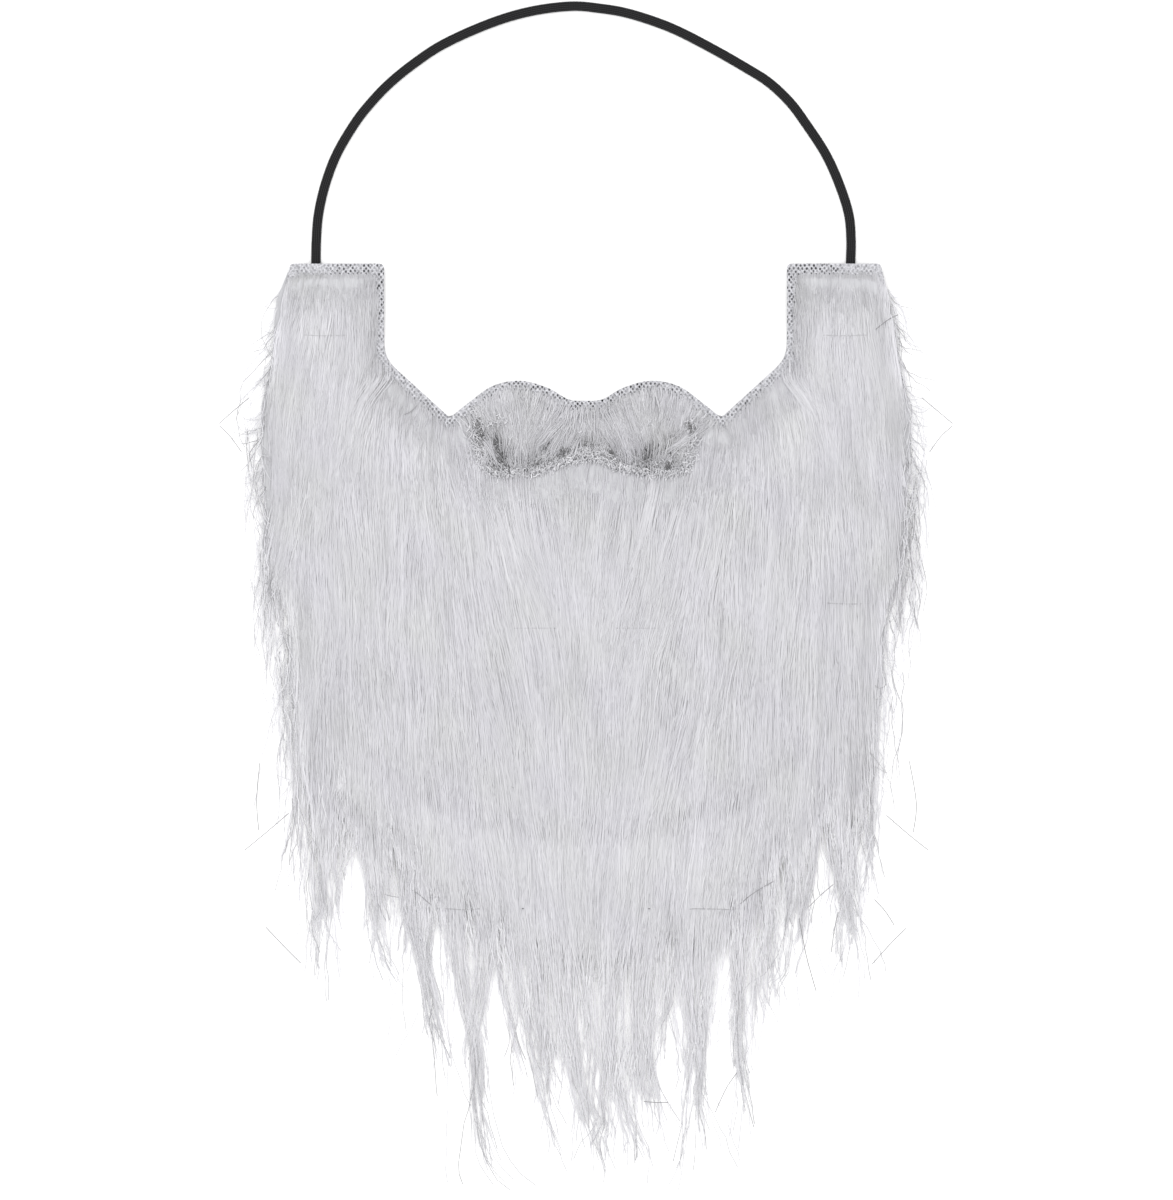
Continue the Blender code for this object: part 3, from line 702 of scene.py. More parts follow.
def knit_material():
    """Fine white knit with small gaps in staggered rows, painted dark as the shade in them."""
    made, tree, shader = new_material("knit", 0.85, 0.15)
    depth = add_node(tree, "ShaderNodeAttribute", attribute_name="open").outputs["Fac"]
    place = add_node(tree, "ShaderNodeTexCoord").outputs["Object"]
    noise = add_node(tree, "ShaderNodeTexNoise", Scale=1400.0, Detail=3.0,
                     Vector=place).outputs["Fac"]
    lattice = add_node(tree, "ShaderNodeCombineXYZ")
    for axis, slant in (("X", 1), ("Y", -1)):
        part = add_node(tree, "ShaderNodeVectorMath", operation="DOT_PRODUCT")
        part.inputs[1].default_value = (1 / KNIT_COLUMN, slant / (2 * KNIT_ROW), 0.0)
        tree.links.new(place, part.inputs[0])
        tree.links.new(part.outputs["Value"], lattice.inputs[axis])
    cells = add_node(tree, "ShaderNodeTexVoronoi", voronoi_dimensions="2D", Scale=1.0,
                     Randomness=0.35, Vector=lattice.outputs["Vector"])
    hole = add_node(tree, "ShaderNodeMapRange", interpolation_type="SMOOTHSTEP",
                    Value=cells.outputs["Distance"],
                    **{"From Min": 0.44, "From Max": 0.25, "To Min": 0.0, "To Max": 1.0})
    some = add_node(tree, "ShaderNodeMapRange", Value=cells.outputs["Color"],
                    **{"From Min": 0.0, "From Max": 0.7, "To Min": 0.10, "To Max": 1.0})
    depth = product(tree, product(tree, depth, hole.outputs["Result"]), some.outputs["Result"])
    thread = colour_ramp(tree, noise, [(0.34, (0.34, 0.34, 0.36)), (0.64, (0.60, 0.60, 0.63))])
    # painted shade: the knit's gaps are near black
    dark = colour_ramp(tree, noise, [(0.3, (0.006, 0.006, 0.007)), (0.7, (0.04, 0.04, 0.045))])
    tree.links.new(mixed(tree, depth, thread, dark), shader.inputs["Base Color"])
    add_relief(tree, shader, noise, 0.4, 0.0002)
    shader.inputs["Sheen Weight"].default_value = 0.1
    return made


def mat_material():
    """Close white fibre, darker than the hair as painted shade, with fine streaks along the pile.
    """
    made, tree, shader = new_material("white_mat", 0.75, 0.12)
    place = add_node(tree, "ShaderNodeTexCoord").outputs["Object"]
    stretched = add_node(tree, "ShaderNodeMapping", Scale=(1.0, 0.045, 0.3), Vector=place)
    fine = add_node(tree, "ShaderNodeTexNoise", Scale=1500.0, Detail=2.0,
                    Vector=stretched.outputs["Vector"]).outputs["Fac"]
    broad = add_node(tree, "ShaderNodeTexNoise", Scale=18.0, Detail=2.0,
                     Vector=place).outputs["Fac"]
    cool = colour_ramp(tree, fine, [(0.30, (0.435, 0.435, 0.462)), (0.70, (0.520, 0.520, 0.547))])
    warm = colour_ramp(tree, fine, [(0.30, (0.440, 0.443, 0.452)), (0.70, (0.525, 0.528, 0.537))])
    tree.links.new(mixed(tree, broad, cool, warm), shader.inputs["Base Color"])
    return made


def cloth_material():
    """The knit ground under the pile, with its columns and rows as relief."""
    made, tree, shader = new_material("knit_ground", 0.9, 0.1)
    place = add_node(tree, "ShaderNodeTexCoord").outputs["Object"]
    rows = add_node(tree, "ShaderNodeTexWave", bands_direction="Y", Scale=150.0, Distortion=1.5,
                    Vector=place)
    columns = add_node(tree, "ShaderNodeTexWave", bands_direction="X", Scale=160.0, Distortion=2.0,
                       Vector=place)
    noise = add_node(tree, "ShaderNodeTexNoise", Scale=120.0, Detail=4.0, Vector=place)
    weave = product(tree, rows.outputs["Fac"], columns.outputs["Fac"])
    light = colour_ramp(tree, weave, [(0.0, (0.34, 0.34, 0.36)), (1.0, (0.50, 0.50, 0.525))])
    dull = colour_ramp(tree, weave, [(0.0, (0.32, 0.32, 0.33)), (1.0, (0.50, 0.50, 0.52))])
    tree.links.new(mixed(tree, noise.outputs["Fac"], light, dull), shader.inputs["Base Color"])
    add_relief(tree, shader, weave, 0.7, 0.0004)
    return made


def elastic_material():
    """Black braided elastic with painted light on its cords' crowns, the braid's slant as relief.
    """
    made, tree, shader = new_material("braided_elastic", 0.75, 0.20)
    cord = add_node(tree, "ShaderNodeAttribute", attribute_name="rib").outputs["Fac"]
    route = add_node(tree, "ShaderNodeUVMap", uv_map="Route").outputs["UV"]
    braid = add_node(tree, "ShaderNodeTexWave", bands_direction="DIAGONAL", Scale=1.0,
                     Distortion=0.6, Vector=route).outputs["Fac"]
    # painted light: the cords' crowns paler, the grooves between them darker
    dark = colour_ramp(tree, cord, [
        (0.0, (0.001, 0.001, 0.0012)), (0.6, (0.004, 0.004, 0.0045)), (1.0, (0.012, 0.012, 0.013))])
    pale = colour_ramp(tree, cord, [
        (0.0, (0.002, 0.002, 0.0022)), (0.6, (0.011, 0.011, 0.012)), (1.0, (0.038, 0.038, 0.040))])
    tree.links.new(mixed(tree, braid, dark, pale), shader.inputs["Base Color"])
    add_relief(tree, shader, braid, 0.5, 0.0002)
    return made


def make_stage():
    """Camera straight above, pale floor and soft light."""
    scene = bpy.context.scene
    scene.view_settings.view_transform = "Standard"
    data = bpy.data.cameras.new("camera")
    data.lens, data.sensor_width = LENS * 1000, SENSOR * 1000
    data.clip_start, data.clip_end = 0.1, 20.0
    camera = bpy.data.objects.new("camera", data)
    across, down = spot(*PHOTO_CENTRE)
    camera.location = (across, TOP_Y - down, PHOTO_HEIGHT * PIXEL * LENS / SENSOR)
    scene.collection.objects.link(camera)
    scene.camera = camera

    floor_material, _, shader = new_material("floor", 0.9, 0.1)
    shader.inputs["Base Color"].default_value = (0.96, 0.96, 0.96, 1.0)
    size, level = 6.0, -0.0003
    corners = [(x * size, y * size, level) for x, y in ((-1, -1), (1, -1), (1, 1), (-1, 1))]
    floor = mesh_object("floor", corners, [(0, 1, 2, 3)], floor_material)

    world = bpy.data.worlds.new("studio")
    world.use_nodes = True
    background = world.node_tree.nodes["Background"]
    background.inputs["Color"].default_value = (1.0, 1.0, 1.0, 1.0)
    background.inputs["Strength"].default_value = 1.05
    scene.world = world
    for name, place, turn, size, power in (
            ("key", (-0.5, 0.9, 1.5), (-0.55, -0.32, 0.0), 1.2, 12.0),
            ("fill", (0.9, -0.4, 1.6), (0.24, 0.52, 0.0), 1.6, 6.0)):
        light = bpy.data.lights.new(name, "AREA")
        light.size, light.energy = size, power
        lamp = bpy.data.objects.new(name, light)
        lamp.location, lamp.rotation_euler = place, turn
        scene.collection.objects.link(lamp)


def make_elastic(material):
    """A flat band of five cords side by side along its route, with both ends under the tabs."""
    line = smooth(ELASTIC_ROUTE, 6)
    along = np.gradient(line, axis=0)
    along /= np.linalg.norm(along, axis=1, keepdims=True)
    side = np.stack([along[:, 1], -along[:, 0]], 1)
    travel = np.concatenate([[0], np.cumsum(np.linalg.norm(np.diff(line, axis=0), axis=1))])
    cords, per_cord = 5, 6
    share = np.linspace(-1, 1, cords * per_cord + 1)
    swell = np.abs(np.sin((share + 1) / 2 * cords * math.pi))
    half = ELASTIC_THICKNESS / 2
    top = half * (0.66 + 0.34 * swell) * np.sqrt(np.clip(1 - np.abs(share)**12, 0, 1))
    aside = np.concatenate([share, share[::-1][1:-1]])
    upward = np.concatenate([top, -top[::-1][1:-1]])
    rib = np.concatenate([swell, swell[::-1][1:-1]])
    rings, count = len(line), len(aside)
    points = np.empty((rings, count, 3))
    points[..., 0] = line[:, None, 0] + side[:, None, 0] * aside * ELASTIC_WIDTH / 2
    points[..., 1] = TOP_Y - line[:, None, 1] - side[:, None, 1] * aside * ELASTIC_WIDTH / 2
    points[..., 2] = half + upward
    index = np.arange(rings * count).reshape(rings, count)
    after = np.roll(index, -1, axis=1)
    quads = np.stack([index[:-1], after[:-1], after[1:], index[1:]], -1).reshape(-1, 4)
    caps = []
    for ring, flip in ((index[0], 1), (index[-1], -1)):
        for i in range(1, count // 2 - 1):
            caps.append([ring[i], ring[i + 1], ring[count - i - 1], ring[count - i]][::flip])
    quads = np.vstack([quads, np.array(caps)])
    band = mesh_object("elastic_band_braided", points.reshape(-1, 3), quads, material)
    set_values(band, "rib", np.tile(rib, rings))
    route = np.stack([np.repeat(travel[:, None], count, 1) / BRAID_LENGTH,
                      np.repeat(aside[None], rings, 0) * BRAID_SLANT], -1).reshape(-1, 2)
    set_map(band, "Route", route[quads.ravel()])
    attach(band, "root")
    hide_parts("elastic_band")


def rim_edges(quads):
    """The edges on the open rim of a patch, each in the direction of its face."""
    edges = np.concatenate([quads[:, [0, 1]], quads[:, [1, 2]], quads[:, [2, 3]], quads[:, [3, 0]]])
    _, first, times = np.unique(np.sort(edges, axis=1), axis=0, return_index=True,
                                return_counts=True)
    return edges[first[times == 1]]


def fitted_patch(pitch, keep, low, high, outlines):
    """A grid patch kept by keep(points), its rim moved onto the outlines where it is near them."""
    cells = np.stack(np.meshgrid(np.arange(low[0], high[0] + pitch, pitch),
                                 np.arange(low[1], high[1] + pitch, pitch)), -1)
    index = np.arange(cells[..., 0].size).reshape(cells.shape[:2])
    quads = np.stack([index[:-1, :-1], index[1:, :-1], index[1:, 1:], index[:-1, 1:]], -1)
    middle = (cells[:-1, :-1] + cells[1:, 1:]) / 2
    quads = quads.reshape(-1, 4)[keep(middle.reshape(-1, 2))]
    used, where = np.unique(quads.ravel(), return_inverse=True)
    points, quads = cells.reshape(-1, 2)[used], where.reshape(-1, 4)
    rim = np.unique(rim_edges(quads))
    for outline in outlines:
        gap, at = nearest(points[rim], np.vstack([outline, outline[:1]]))
        near = gap < pitch * 1.2
        points[rim[near]] = at[near]
    return points, quads


def closed_sheet(name, points, quads, bottom, top, material):
    """A sheet with an upper and a lower face, joined along its rim."""
    count = len(points)
    rim = rim_edges(quads)
    walls = np.column_stack([rim[:, 1], rim[:, 0], rim[:, 0] + count, rim[:, 1] + count])
    corners = np.vstack([np.column_stack([points[:, 0], TOP_Y - points[:, 1], height])
                         for height in (bottom, top)])
    return mesh_object(name, corners, np.vstack([quads[:, ::-1], quads + count, walls]), material)


def make_cloth(material):
    """The knit ground: one sheet with two faces and a turned rim."""
    pitch = 0.0025
    points, quads = fitted_patch(pitch, on_cloth, (-0.1325, -0.001), (0.1325, 0.240), (CLOTH, SLOT))
    low = lifted(points[:, 1])
    top = low + CLOTH_TOP - SHEET_UNDER_LOOPS
    sheet = closed_sheet("backing_knit", points, quads, low, top, material)
    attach(sheet, "root")
    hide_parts("backing")


def make_mat(material):
    """The close fibre under the visible hair: the body of the fur, thick in the middle."""
    def spare(points):
        """How far inside its own edge these places are; the mat stays back in the fringe."""
        low = points[:, 1]
        back = 0.0050 * ramp(low, 0.205, 0.235) + 0.0160 * ramp(low, 0.250, 0.315)
        return edge_gap(points) - back - 0.006 * thin_at(points)

    def keep(points):
        edge = nearest(folded(points), FACE_EDGE)[0]
        return (spare(points) > 0) & (edge > 0.0025) & ~above_mouth(points) & ~inside(points, SLOT)

    points, quads = fitted_patch(0.0020, keep, (-0.1380, 0.002), (0.1380, 0.346), (SOLID, SLOT))
    gap = np.minimum(spare(points), nearest(points, SLOT_EDGE)[0])
    edge = nearest(folded(points), FACE_EDGE)[0]
    edge[np.abs(points[:, 0]) > TAB_OUTER - 0.002] = 1.0
    low = lifted(points[:, 1])
    bottom = np.where(inside(points, CLOTH), low + CLOTH_TOP - 0.0006, low + 0.0004)
    swell = np.maximum(under_height(points) - bottom, 0.0) * ramp(gap, -0.001, 0.005)
    top = bottom + MAT_LEAST + swell * ramp(edge, 0.0028, 0.0085)
    mat = closed_sheet("hair_mat", points, quads, bottom, top, material)
    own = np.empty(len(mat.data.vertices) * 3)
    mat.data.vertex_normals.foreach_get("vector", own)
    own = own.reshape(-1, 3)
    facing = own * FACE_SHARE
    facing[:, 2] += np.where(own[:, 2] < 0, FACE_SHARE - 1, 1 - FACE_SHARE)
    set_normals(mat, facing)
    return mat


def make_knit(material):
    """The knit's loops along the edge round the face: relief with gaps, painted dark as their
    shade.
    """
    reach, hole_size, hole_depth, edge_dip = 0.011, 0.00032, 0.00030, 0.00012

    def keep(points):
        near = nearest(folded(points), FACE_EDGE)[0] < reach
        return near & inside(points, CLOTH) & ~inside(points, SLOT) & (points[:, 1] < 0.085)

    points, quads = fitted_patch(0.00040, keep, (-0.1265, -0.0004), (0.1265, 0.086), (CLOTH, SLOT))
    upward = TOP_Y - points[:, 1]
    row = np.round(upward / KNIT_ROW)
    shift = 0.5 * (row % 2)
    across = points[:, 0] - (np.round(points[:, 0] / KNIT_COLUMN - shift) + shift) * KNIT_COLUMN
    rise = upward - row * KNIT_ROW
    hole = np.exp(-(across**2 + rise**2) / hole_size**2)
    edge = nearest(folded(points), FACE_EDGE)[0]
    height = lifted(points[:, 1]) + CLOTH_TOP - hole_depth * hole
    height -= edge_dip * (1 - ramp(edge, 0.0, 0.0008))
    knit = mesh_object("backing_knit_loops", np.column_stack([points[:, 0], upward, height]), quads,
                       material)
    set_values(knit, "open", np.clip(table_field(OPEN_KNIT, KNIT_REACH)(points), 0, 1))
    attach(knit, "root")
    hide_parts("backing")


def taper(rings, root, tip, full=0.25):
    """Width along a hair, as shares of its full width."""
    share = np.linspace(0, 1, rings)
    return np.interp(share, [0, full, 0.7, 1], [root, 1, 0.75, tip])[None]


def widths(random, count, width, least, most, along):
    """Widths along each hair, where each has its own share of the usual width."""
    return width * random.uniform(least, most, count)[:, None] * along


def rise(share, lengths, over):
    """How far up each hair is, from its root at 0 to 1 once it lies on the fur."""
    reach = np.clip(share * lengths[:, None] / over, 0, 1)
    return 1 - (1 - reach)**2


def tones(own, groups, hairs, rings, random, spread):
    """Lightness of each hair: every lock and every hair has its own, with painted shade at the
    roots.
    """
    lock = random.normal(0, spread, groups)[own]
    single = random.normal(0, spread * 1.1, hairs)
    share = np.linspace(0, 1, rings)
    return (lock + single)[:, None] + np.interp(share, [0, 0.15, 0.6, 1], [-0.03, -0.005, 0, 0.01])


def ended(path, lengths, random):
    """The hairs cut off where they leave the close fur, each a little sooner or later."""
    hairs, rings = path.shape[:2]
    gap, down = edge_gap(path), path[..., 1]
    thin = thin_at(path) + 0.75 * ramp(down, 0.245, 0.325)
    thin += 0.70 * ramp(down, 0.20, 0.22) * ramp(gap, 0.009, -0.001)
    outside = (gap < 0) | (thin > random.uniform(0.10, 1.15, hairs)[:, None])
    first = np.where(outside.any(1), np.maximum(outside.argmax(1) - 0.5, 0), rings - 1)
    rows = np.arange(hairs)
    usual_spare, long_share = 0.0014, 0.020
    spare = random.exponential(usual_spare, hairs)
    long = random.random(hairs) < long_share
    spare[long] += random.gamma(2.0, 0.0070, long.sum())
    in_fringe = ramp(path[rows, first.astype(int), 1], 0.255, 0.285)
    spare += random.normal(0.002, 0.009, hairs) * in_fringe
    reach = np.clip(first / (rings - 1) + spare / lengths, 0.03, 1)
    at = reach[:, None] * np.arange(rings)
    low = np.minimum(at.astype(int), rings - 2)
    part = (at - low)[..., None]
    rows = rows[:, None]
    return path[rows, low] * (1 - part) + path[rows, low + 1] * part, lengths * reach


def add_fur(pile, roots, lengths, steps, angle_at, width, random, locks_per_hair=0.16, wobble=0.05,
            strength=0.60, base=0.80, spread=0.011, dark=None, hang=0.0):
    """Combed hair on a part of the cloth, in small locks within larger ones."""
    count = len(roots)
    small_per_large, root_depth, depth, roll_spread = 14, 0.0006, 0.0011, 0.25
    picked = random.permutation(count)
    small = picked[:int(count * locks_per_hair)]
    large = picked[:max(8, int(count * locks_per_hair / small_per_large))]
    turn = random.normal(0, math.radians(4.0), count)
    path = grow(roots, lengths, steps, angle_at, turn, random, wobble)
    big = grow(roots[large], lengths[large], steps, angle_at, turn[large] * 0.5, random, wobble / 3)
    leaders, _ = drawn_together(path[small], big, 0.40, 1.0)
    path, own = drawn_together(path, leaders, strength, 0.8)
    path, lengths = ended(path, lengths, random)
    rings = steps + 1
    share = np.linspace(0, 1, rings)[None]
    level = 0.65 * random.random(count) + 0.35 * random.random(len(small))[own]
    level = level[:, None]
    gap, down = edge_gap(path), path[..., 1]

    # hairs rise from under the surface and lie on it, over the cloth or the floor
    under = under_height(path, gap)
    under = np.maximum(under, hang * under[:, :1])
    height = under - root_depth + (root_depth + level * depth) * rise(share, lengths, 0.010)
    height = np.maximum(height, (ground_height(path) + 0.0001) * (gap > 0) + 0.0004 * level)
    wide = (width * random.uniform(0.65, 1.35, count))[:, None] * taper(rings, 0.7, 0.22)
    wide *= 1 - 0.22 * ramp(down, 0.245, 0.300)
    roll = random.normal(0, roll_spread, count)[:, None]
    roll = roll + random.normal(0, roll_spread, count)[:, None] * (share - 0.5)

    # a few lighter hairs as painted highlights and darker ones as painted shade between locks,
    # broad changes, then painted light and shade at places of the beard
    shade = base + tones(own, len(small), count, rings, random, spread)
    chance = random.random(count)[:, None]
    shade += 0.05 * (chance < 0.03) - 0.10 * (chance > 0.965)
    shade += 0.010 * streak(path * (1.6, 0.5)) + 0.008 * patch(path)
    # painted shadow on the hair under the mouth
    chin = np.exp(-(path[..., 0] / 0.050)**2 - ((down - CHIN_DOWN) / 0.020)**2)
    shade -= CHIN_SHADE * chin * (down > CHIN_DOWN)
    # painted light on the fringe and more on its ends, against the shadows of the stacked hairs
    shade += FRINGE_LIGHT * ramp(down, 0.215, 0.260) + END_LIGHT * ramp(down, 0.260, 0.325)
    # painted shade on the strip along the tabs' tops, whose slope faces the key light
    shade -= TOP_SHADE * np.exp(-((down - 0.0065) / 0.0040)**2)
    # painted light on the hair along the beard's sides and lower edge, against the shadow there
    sides = np.maximum(ramp(np.abs(path[..., 0]), 0.112, 0.122), ramp(down, 0.16, 0.20))
    shade += EDGE_LIGHT * sides * ramp(gap, 0.0060, -0.0015)
    # painted shade of the mouth's opening on the moustache's hair
    if dark:
        shade -= MOUTH_SHADE * dark(path) * random.random(count)[:, None]
    tint = PLAIN_TINT + 0.26 * patch(path * 1.4 + 0.3) + random.normal(0, 0.10, count)[:, None]
    pile.add(path, height, wide, roll, shade, tint)


def on_cloth(points):
    """Which points lie on the cloth, beside the mouth's slot."""
    return inside(points, CLOTH) & ~inside(points, SLOT)


def root_chance(points):
    """The chance that hair grows here: none on the bare knit along the edge round the face."""
    half = folded(points)
    edge = nearest(half, FACE_EDGE)[0]
    bare = np.where(half[:, 0] > 0.075, 0.0030, 0.0020)
    bare = np.where(half[:, 1] < 0.012, 0.0036, bare)
    return on_cloth(points) * ramp(edge, bare * 0.3, bare * 2.0)


def above_mouth(points):
    """Which points are the moustache's: over a line from each notch to the ends of the mouth."""
    half = folded(points)
    return (half[:, 0] < NOTCH[0]) & (half[:, 1] < mouth_line(half[:, 0]))


def border_chance(points):
    """The chance of short hair on the strip where the knit goes over into the fur."""
    edge = nearest(folded(points), FACE_EDGE)[0]
    strip = ramp(edge, 0.0020, 0.0060) * ramp(edge, 0.0180, 0.0060)
    return on_cloth(points) * strip * ~above_mouth(points)


def beard_chance(points):
    """The chance that the beard's hair grows here, which the moustache doesn't cover."""
    return root_chance(points) * ~above_mouth(points)


def moustache_chance(points):
    """The chance that the moustache's hair grows here."""
    return root_chance(points) * above_mouth(points)


def make_face_fur(material):
    """The hair of the tabs, cheeks and chin, with the short hair of the border at the tabs."""
    random = np.random.default_rng(FACE_SEED)
    pieces = []
    rows = [
        # name, top, bottom, hairs, steps, shortest, longest, width
        ("hair_tabs", -0.001, 0.075, 15500, 5, 0.020, 0.044, TAB_HAIR),
        ("hair_cheeks", 0.075, 0.150, 15500, 6, 0.030, 0.062, CHEEK_HAIR),
    ]
    border_hairs, border_steps = 5200, 4
    for name, top, bottom, count, steps, short, long, width in rows:
        pile = Pile(name)
        roots = scattered(count, beard_chance, random, (-0.131, top), (0.131, bottom))
        lengths = random.uniform(short, long, count)
        near = nearest(folded(roots), FACE_EDGE)[0]
        growth = ramp(near, 0.0, 0.016)
        lengths *= 0.20 + 0.80 * growth
        # painted light on the hair about 14 mm in from the face's edge, against the shade where the
        # pile rises
        add_fur(pile, roots, lengths, steps, lie, width * (0.60 + 0.40 * growth), random,
                base=0.80 - 0.05 * (1 - ramp(near, 0.0, 0.007))[:, None]
                + 0.03 * np.exp(-((near - 0.0145) / 0.0035)**2)[:, None])
        if name == "hair_tabs":
            roots = scattered(border_hairs, border_chance, random, (-0.128, top), (0.128, 0.080))
            near = nearest(folded(roots), FACE_EDGE)[0]
            add_fur(pile, roots, random.uniform(0.0045, 0.0110, border_hairs), border_steps, lie,
                    BORDER_HAIR, random, base=0.785 - 0.055 * ramp(near, 0.012, 0.004)[:, None],
                    spread=0.020)
        pieces.append(pile.make(material))
    return pieces


def make_body_fur(material):
    """The long hair of the lower beard: from the cloth, then the ends on it down the fringe."""
    random = np.random.default_rng(BODY_SEED)
    pile = Pile("hair_beard")

    def below(points):
        return inside(points, SOLID) * (1 - 0.75 * ramp(points[:, 1], 0.235, 0.290))

    for count, chance, side, top, bottom, short, long, width, wobble in (
            (9000, root_chance, 0.131, 0.150, 0.2365, 0.045, 0.085, ROOTED_HAIR, 0.045),
            (6200, below, 0.120, 0.205, 0.330, 0.030, 0.070, LAID_HAIR, 0.055)):
        roots = scattered(count, chance, random, (-side, top), (side, bottom))
        lengths = random.uniform(short, long, count)
        add_fur(pile, roots, lengths, 6, lie, width, random, wobble=wobble)
    return pile.make(material)


def follow(places, width, hairs, steps, random, above=0.030, gather=0.78, wander=0.00044,
           least=0.42):
    """Hairs along one middle line in several bundles, spread at the top and drawn together below.

    They start up to this far above the line, and the shortest bundle has this least share of it.
    """
    line = smooth(spots(places), 6)
    run = np.concatenate([[0], np.cumsum(np.linalg.norm(np.diff(line, axis=0), axis=1))])
    bundles = max(2, hairs // 6)
    aside = random.normal(0, 0.45, bundles) * width * PIXEL
    reach = least + (1 - least) * random.beta(1.5, 1.2, bundles)
    aside[0], reach[0] = aside[0] * 0.2, 1.0
    own = random.integers(0, bundles, hairs)
    end = run[-1] * reach[own] * random.uniform(0.84, 1.0, hairs)
    start = -random.uniform(0.0, above, hairs)
    share = np.linspace(0, 1, steps + 1)[None]
    at = start[:, None] + (end - start)[:, None] * share
    fade = np.clip(at / run[-1], 0, 1)
    sway = np.cumsum(random.normal(0, 1, (bundles, steps + 1)), axis=1)[own]
    kink = np.cumsum(random.normal(0, 1, (hairs, steps + 1)), axis=1) * 0.8 + 0.6 * sway
    kink = (kink - kink[:, :1]) * wander * (0.3 + fade) / math.sqrt(steps / 15)
    kink += random.normal(0, 0.4 * wander, (hairs, steps + 1)) * (0.2 + fade)
    offset = aside[own][:, None] * (1 - gather * fade**0.7)
    offset = offset + random.normal(0, 0.0011, hairs)[:, None] * (1 - 0.3 * fade)
    splay = random.normal(0, 0.024, hairs)[:, None] * np.clip(fade - 0.6, 0, 1)**1.5
    across = np.interp(at, run, line[:, 0]) + offset + kink + splay
    down = np.interp(at, run, line[:, 1]) + np.minimum(at, 0)
    return np.stack([across, down], -1)


def add_loose(pile, path, width, random):
    """Single hairs over the fur and past its edge, a little darker where nothing is under them."""
    path = path[path[..., 1].max(1) < LOWEST_HAIR]
    count, rings = path.shape[:2]
    gap = edge_gap(path)
    level = random.random(count)[:, None]
    height = under_height(path, gap) + MAT_UNDER_HAIR * level
    wide = widths(random, count, width, 0.7, 1.3, taper(rings, 0.8, 0.85, 0.1))
    roll = random.normal(0, 0.3, count)[:, None] + random.normal(0, 0.15, (count, rings))
    darker = 0.15 * random.random(count)[:, None]**1.5
    darker += 0.20 * (random.random(count)[:, None] < 0.14)
    # painted light: a lighter base than the fur's, against the shade of the stacked hairs
    shade = 0.87 + random.normal(0, 0.02, count)[:, None] - darker * ramp(-gap, -0.002, 0.010)
    shade -= 0.10 * ramp(-gap, 0.015, 0.040)
    tint = PLAIN_TINT + random.normal(0, 0.12, count)[:, None] + 0 * gap
    pile.add(path, height, wide, roll, shade, tint)


def add_lock(pile, path, height, width, along, roll, shade, random):
    """The hairs of a light lock, each of nearly the same lightness."""
    count = len(path)
    wide = widths(random, count, width, 0.7, 1.3, along)
    base, spread = shade
    shade = base + random.normal(0, spread, count)[:, None] + 0 * height
    pile.add(path, height, wide, roll(shade), shade, PLAIN_TINT + 0 * height)


def make_fringe(material):
    """The thin ends of the fringe: tresses of separate crimped hairs that part from each other."""
    random = np.random.default_rng(FRINGE_SEED)
    pile = Pile("hair_fringe")
    steps, kept_share = 26, 0.62
    for places, width, hairs in TRESSES:
        path = follow(places, width, int(hairs * kept_share), steps, random)
        add_loose(pile, path, TRESS_HAIR, random)

    # single hairs between the tresses, from the lower edge of the close fur
    count, steps = 420, 20
    edge = spots(SOLID_RIGHT[8:] + SOLID_LEFT[:-8])
    place = random.uniform(0, len(edge) - 1, count)
    roots = np.stack([np.interp(place, np.arange(len(edge)), edge[:, axis]) for axis in (0, 1)], 1)
    roots[:, 1] -= random.uniform(0.002, 0.012, count)
    lengths = 0.014 + random.gamma(2.0, 0.0110, count)
    turn = random.normal(0, math.radians(6), count)
    add_loose(pile, grow(roots, lengths, steps, lie, turn, random, 0.11), SINGLE_HAIR, random)

    # painted glints: bright hairs where the fringe is thin, for the light that shows through it
    steps = 6
    for x, y, half_width, half_height in THIN_PLACES:
        count = half_width * half_height // 5
        size = (half_width * PIXEL, half_height * PIXEL)
        roots = spot(x, y) + random.normal(0, 0.55, (count, 2)) * size
        lengths = random.uniform(0.004, 0.014, count)
        path = grow(roots, lengths, steps, lie, random.normal(0, 0.08, count), random, 0.14)
        height = pile_height(path) + 0.0004 * random.random(count)[:, None]
        wide = widths(random, count, THIN_HAIR, 0.7, 1.3, taper(steps + 1, 0.5, 0.3))
        shade = 0.98 - 0.08 * random.random(count)[:, None] + 0 * height
        pile.add(path, height, wide, random.normal(0, 0.2, height.shape), shade,
                 WARM_TINT + 0 * shade)

    steps = 8
    # raised locks with a painted highlight
    for places, width, hairs in LIGHT_LOCKS:
        path = follow(places, width, hairs, steps, random, 0.010, 0.25, 0.00010, 0.4)
        height = under_height(path) + 0.0006 + 0.0005 * random.random(hairs)[:, None]
        add_lock(pile, path, height, LOCK_HAIR, taper(steps + 1, 0.3, 0.2),
                 lambda shade: 0.2 * shade, (0.83, 0.02), random)
    return pile.make(material)


def near_lip(points):
    """How near these places are to the mouth's lower edge, from 0 to 1."""
    half = folded(points)
    gap = nearest(half, SLOT_EDGE)[0]
    return ramp(gap, 0.0050, -0.0020) * (half[:, 1] > mouth_line(half[:, 0]))


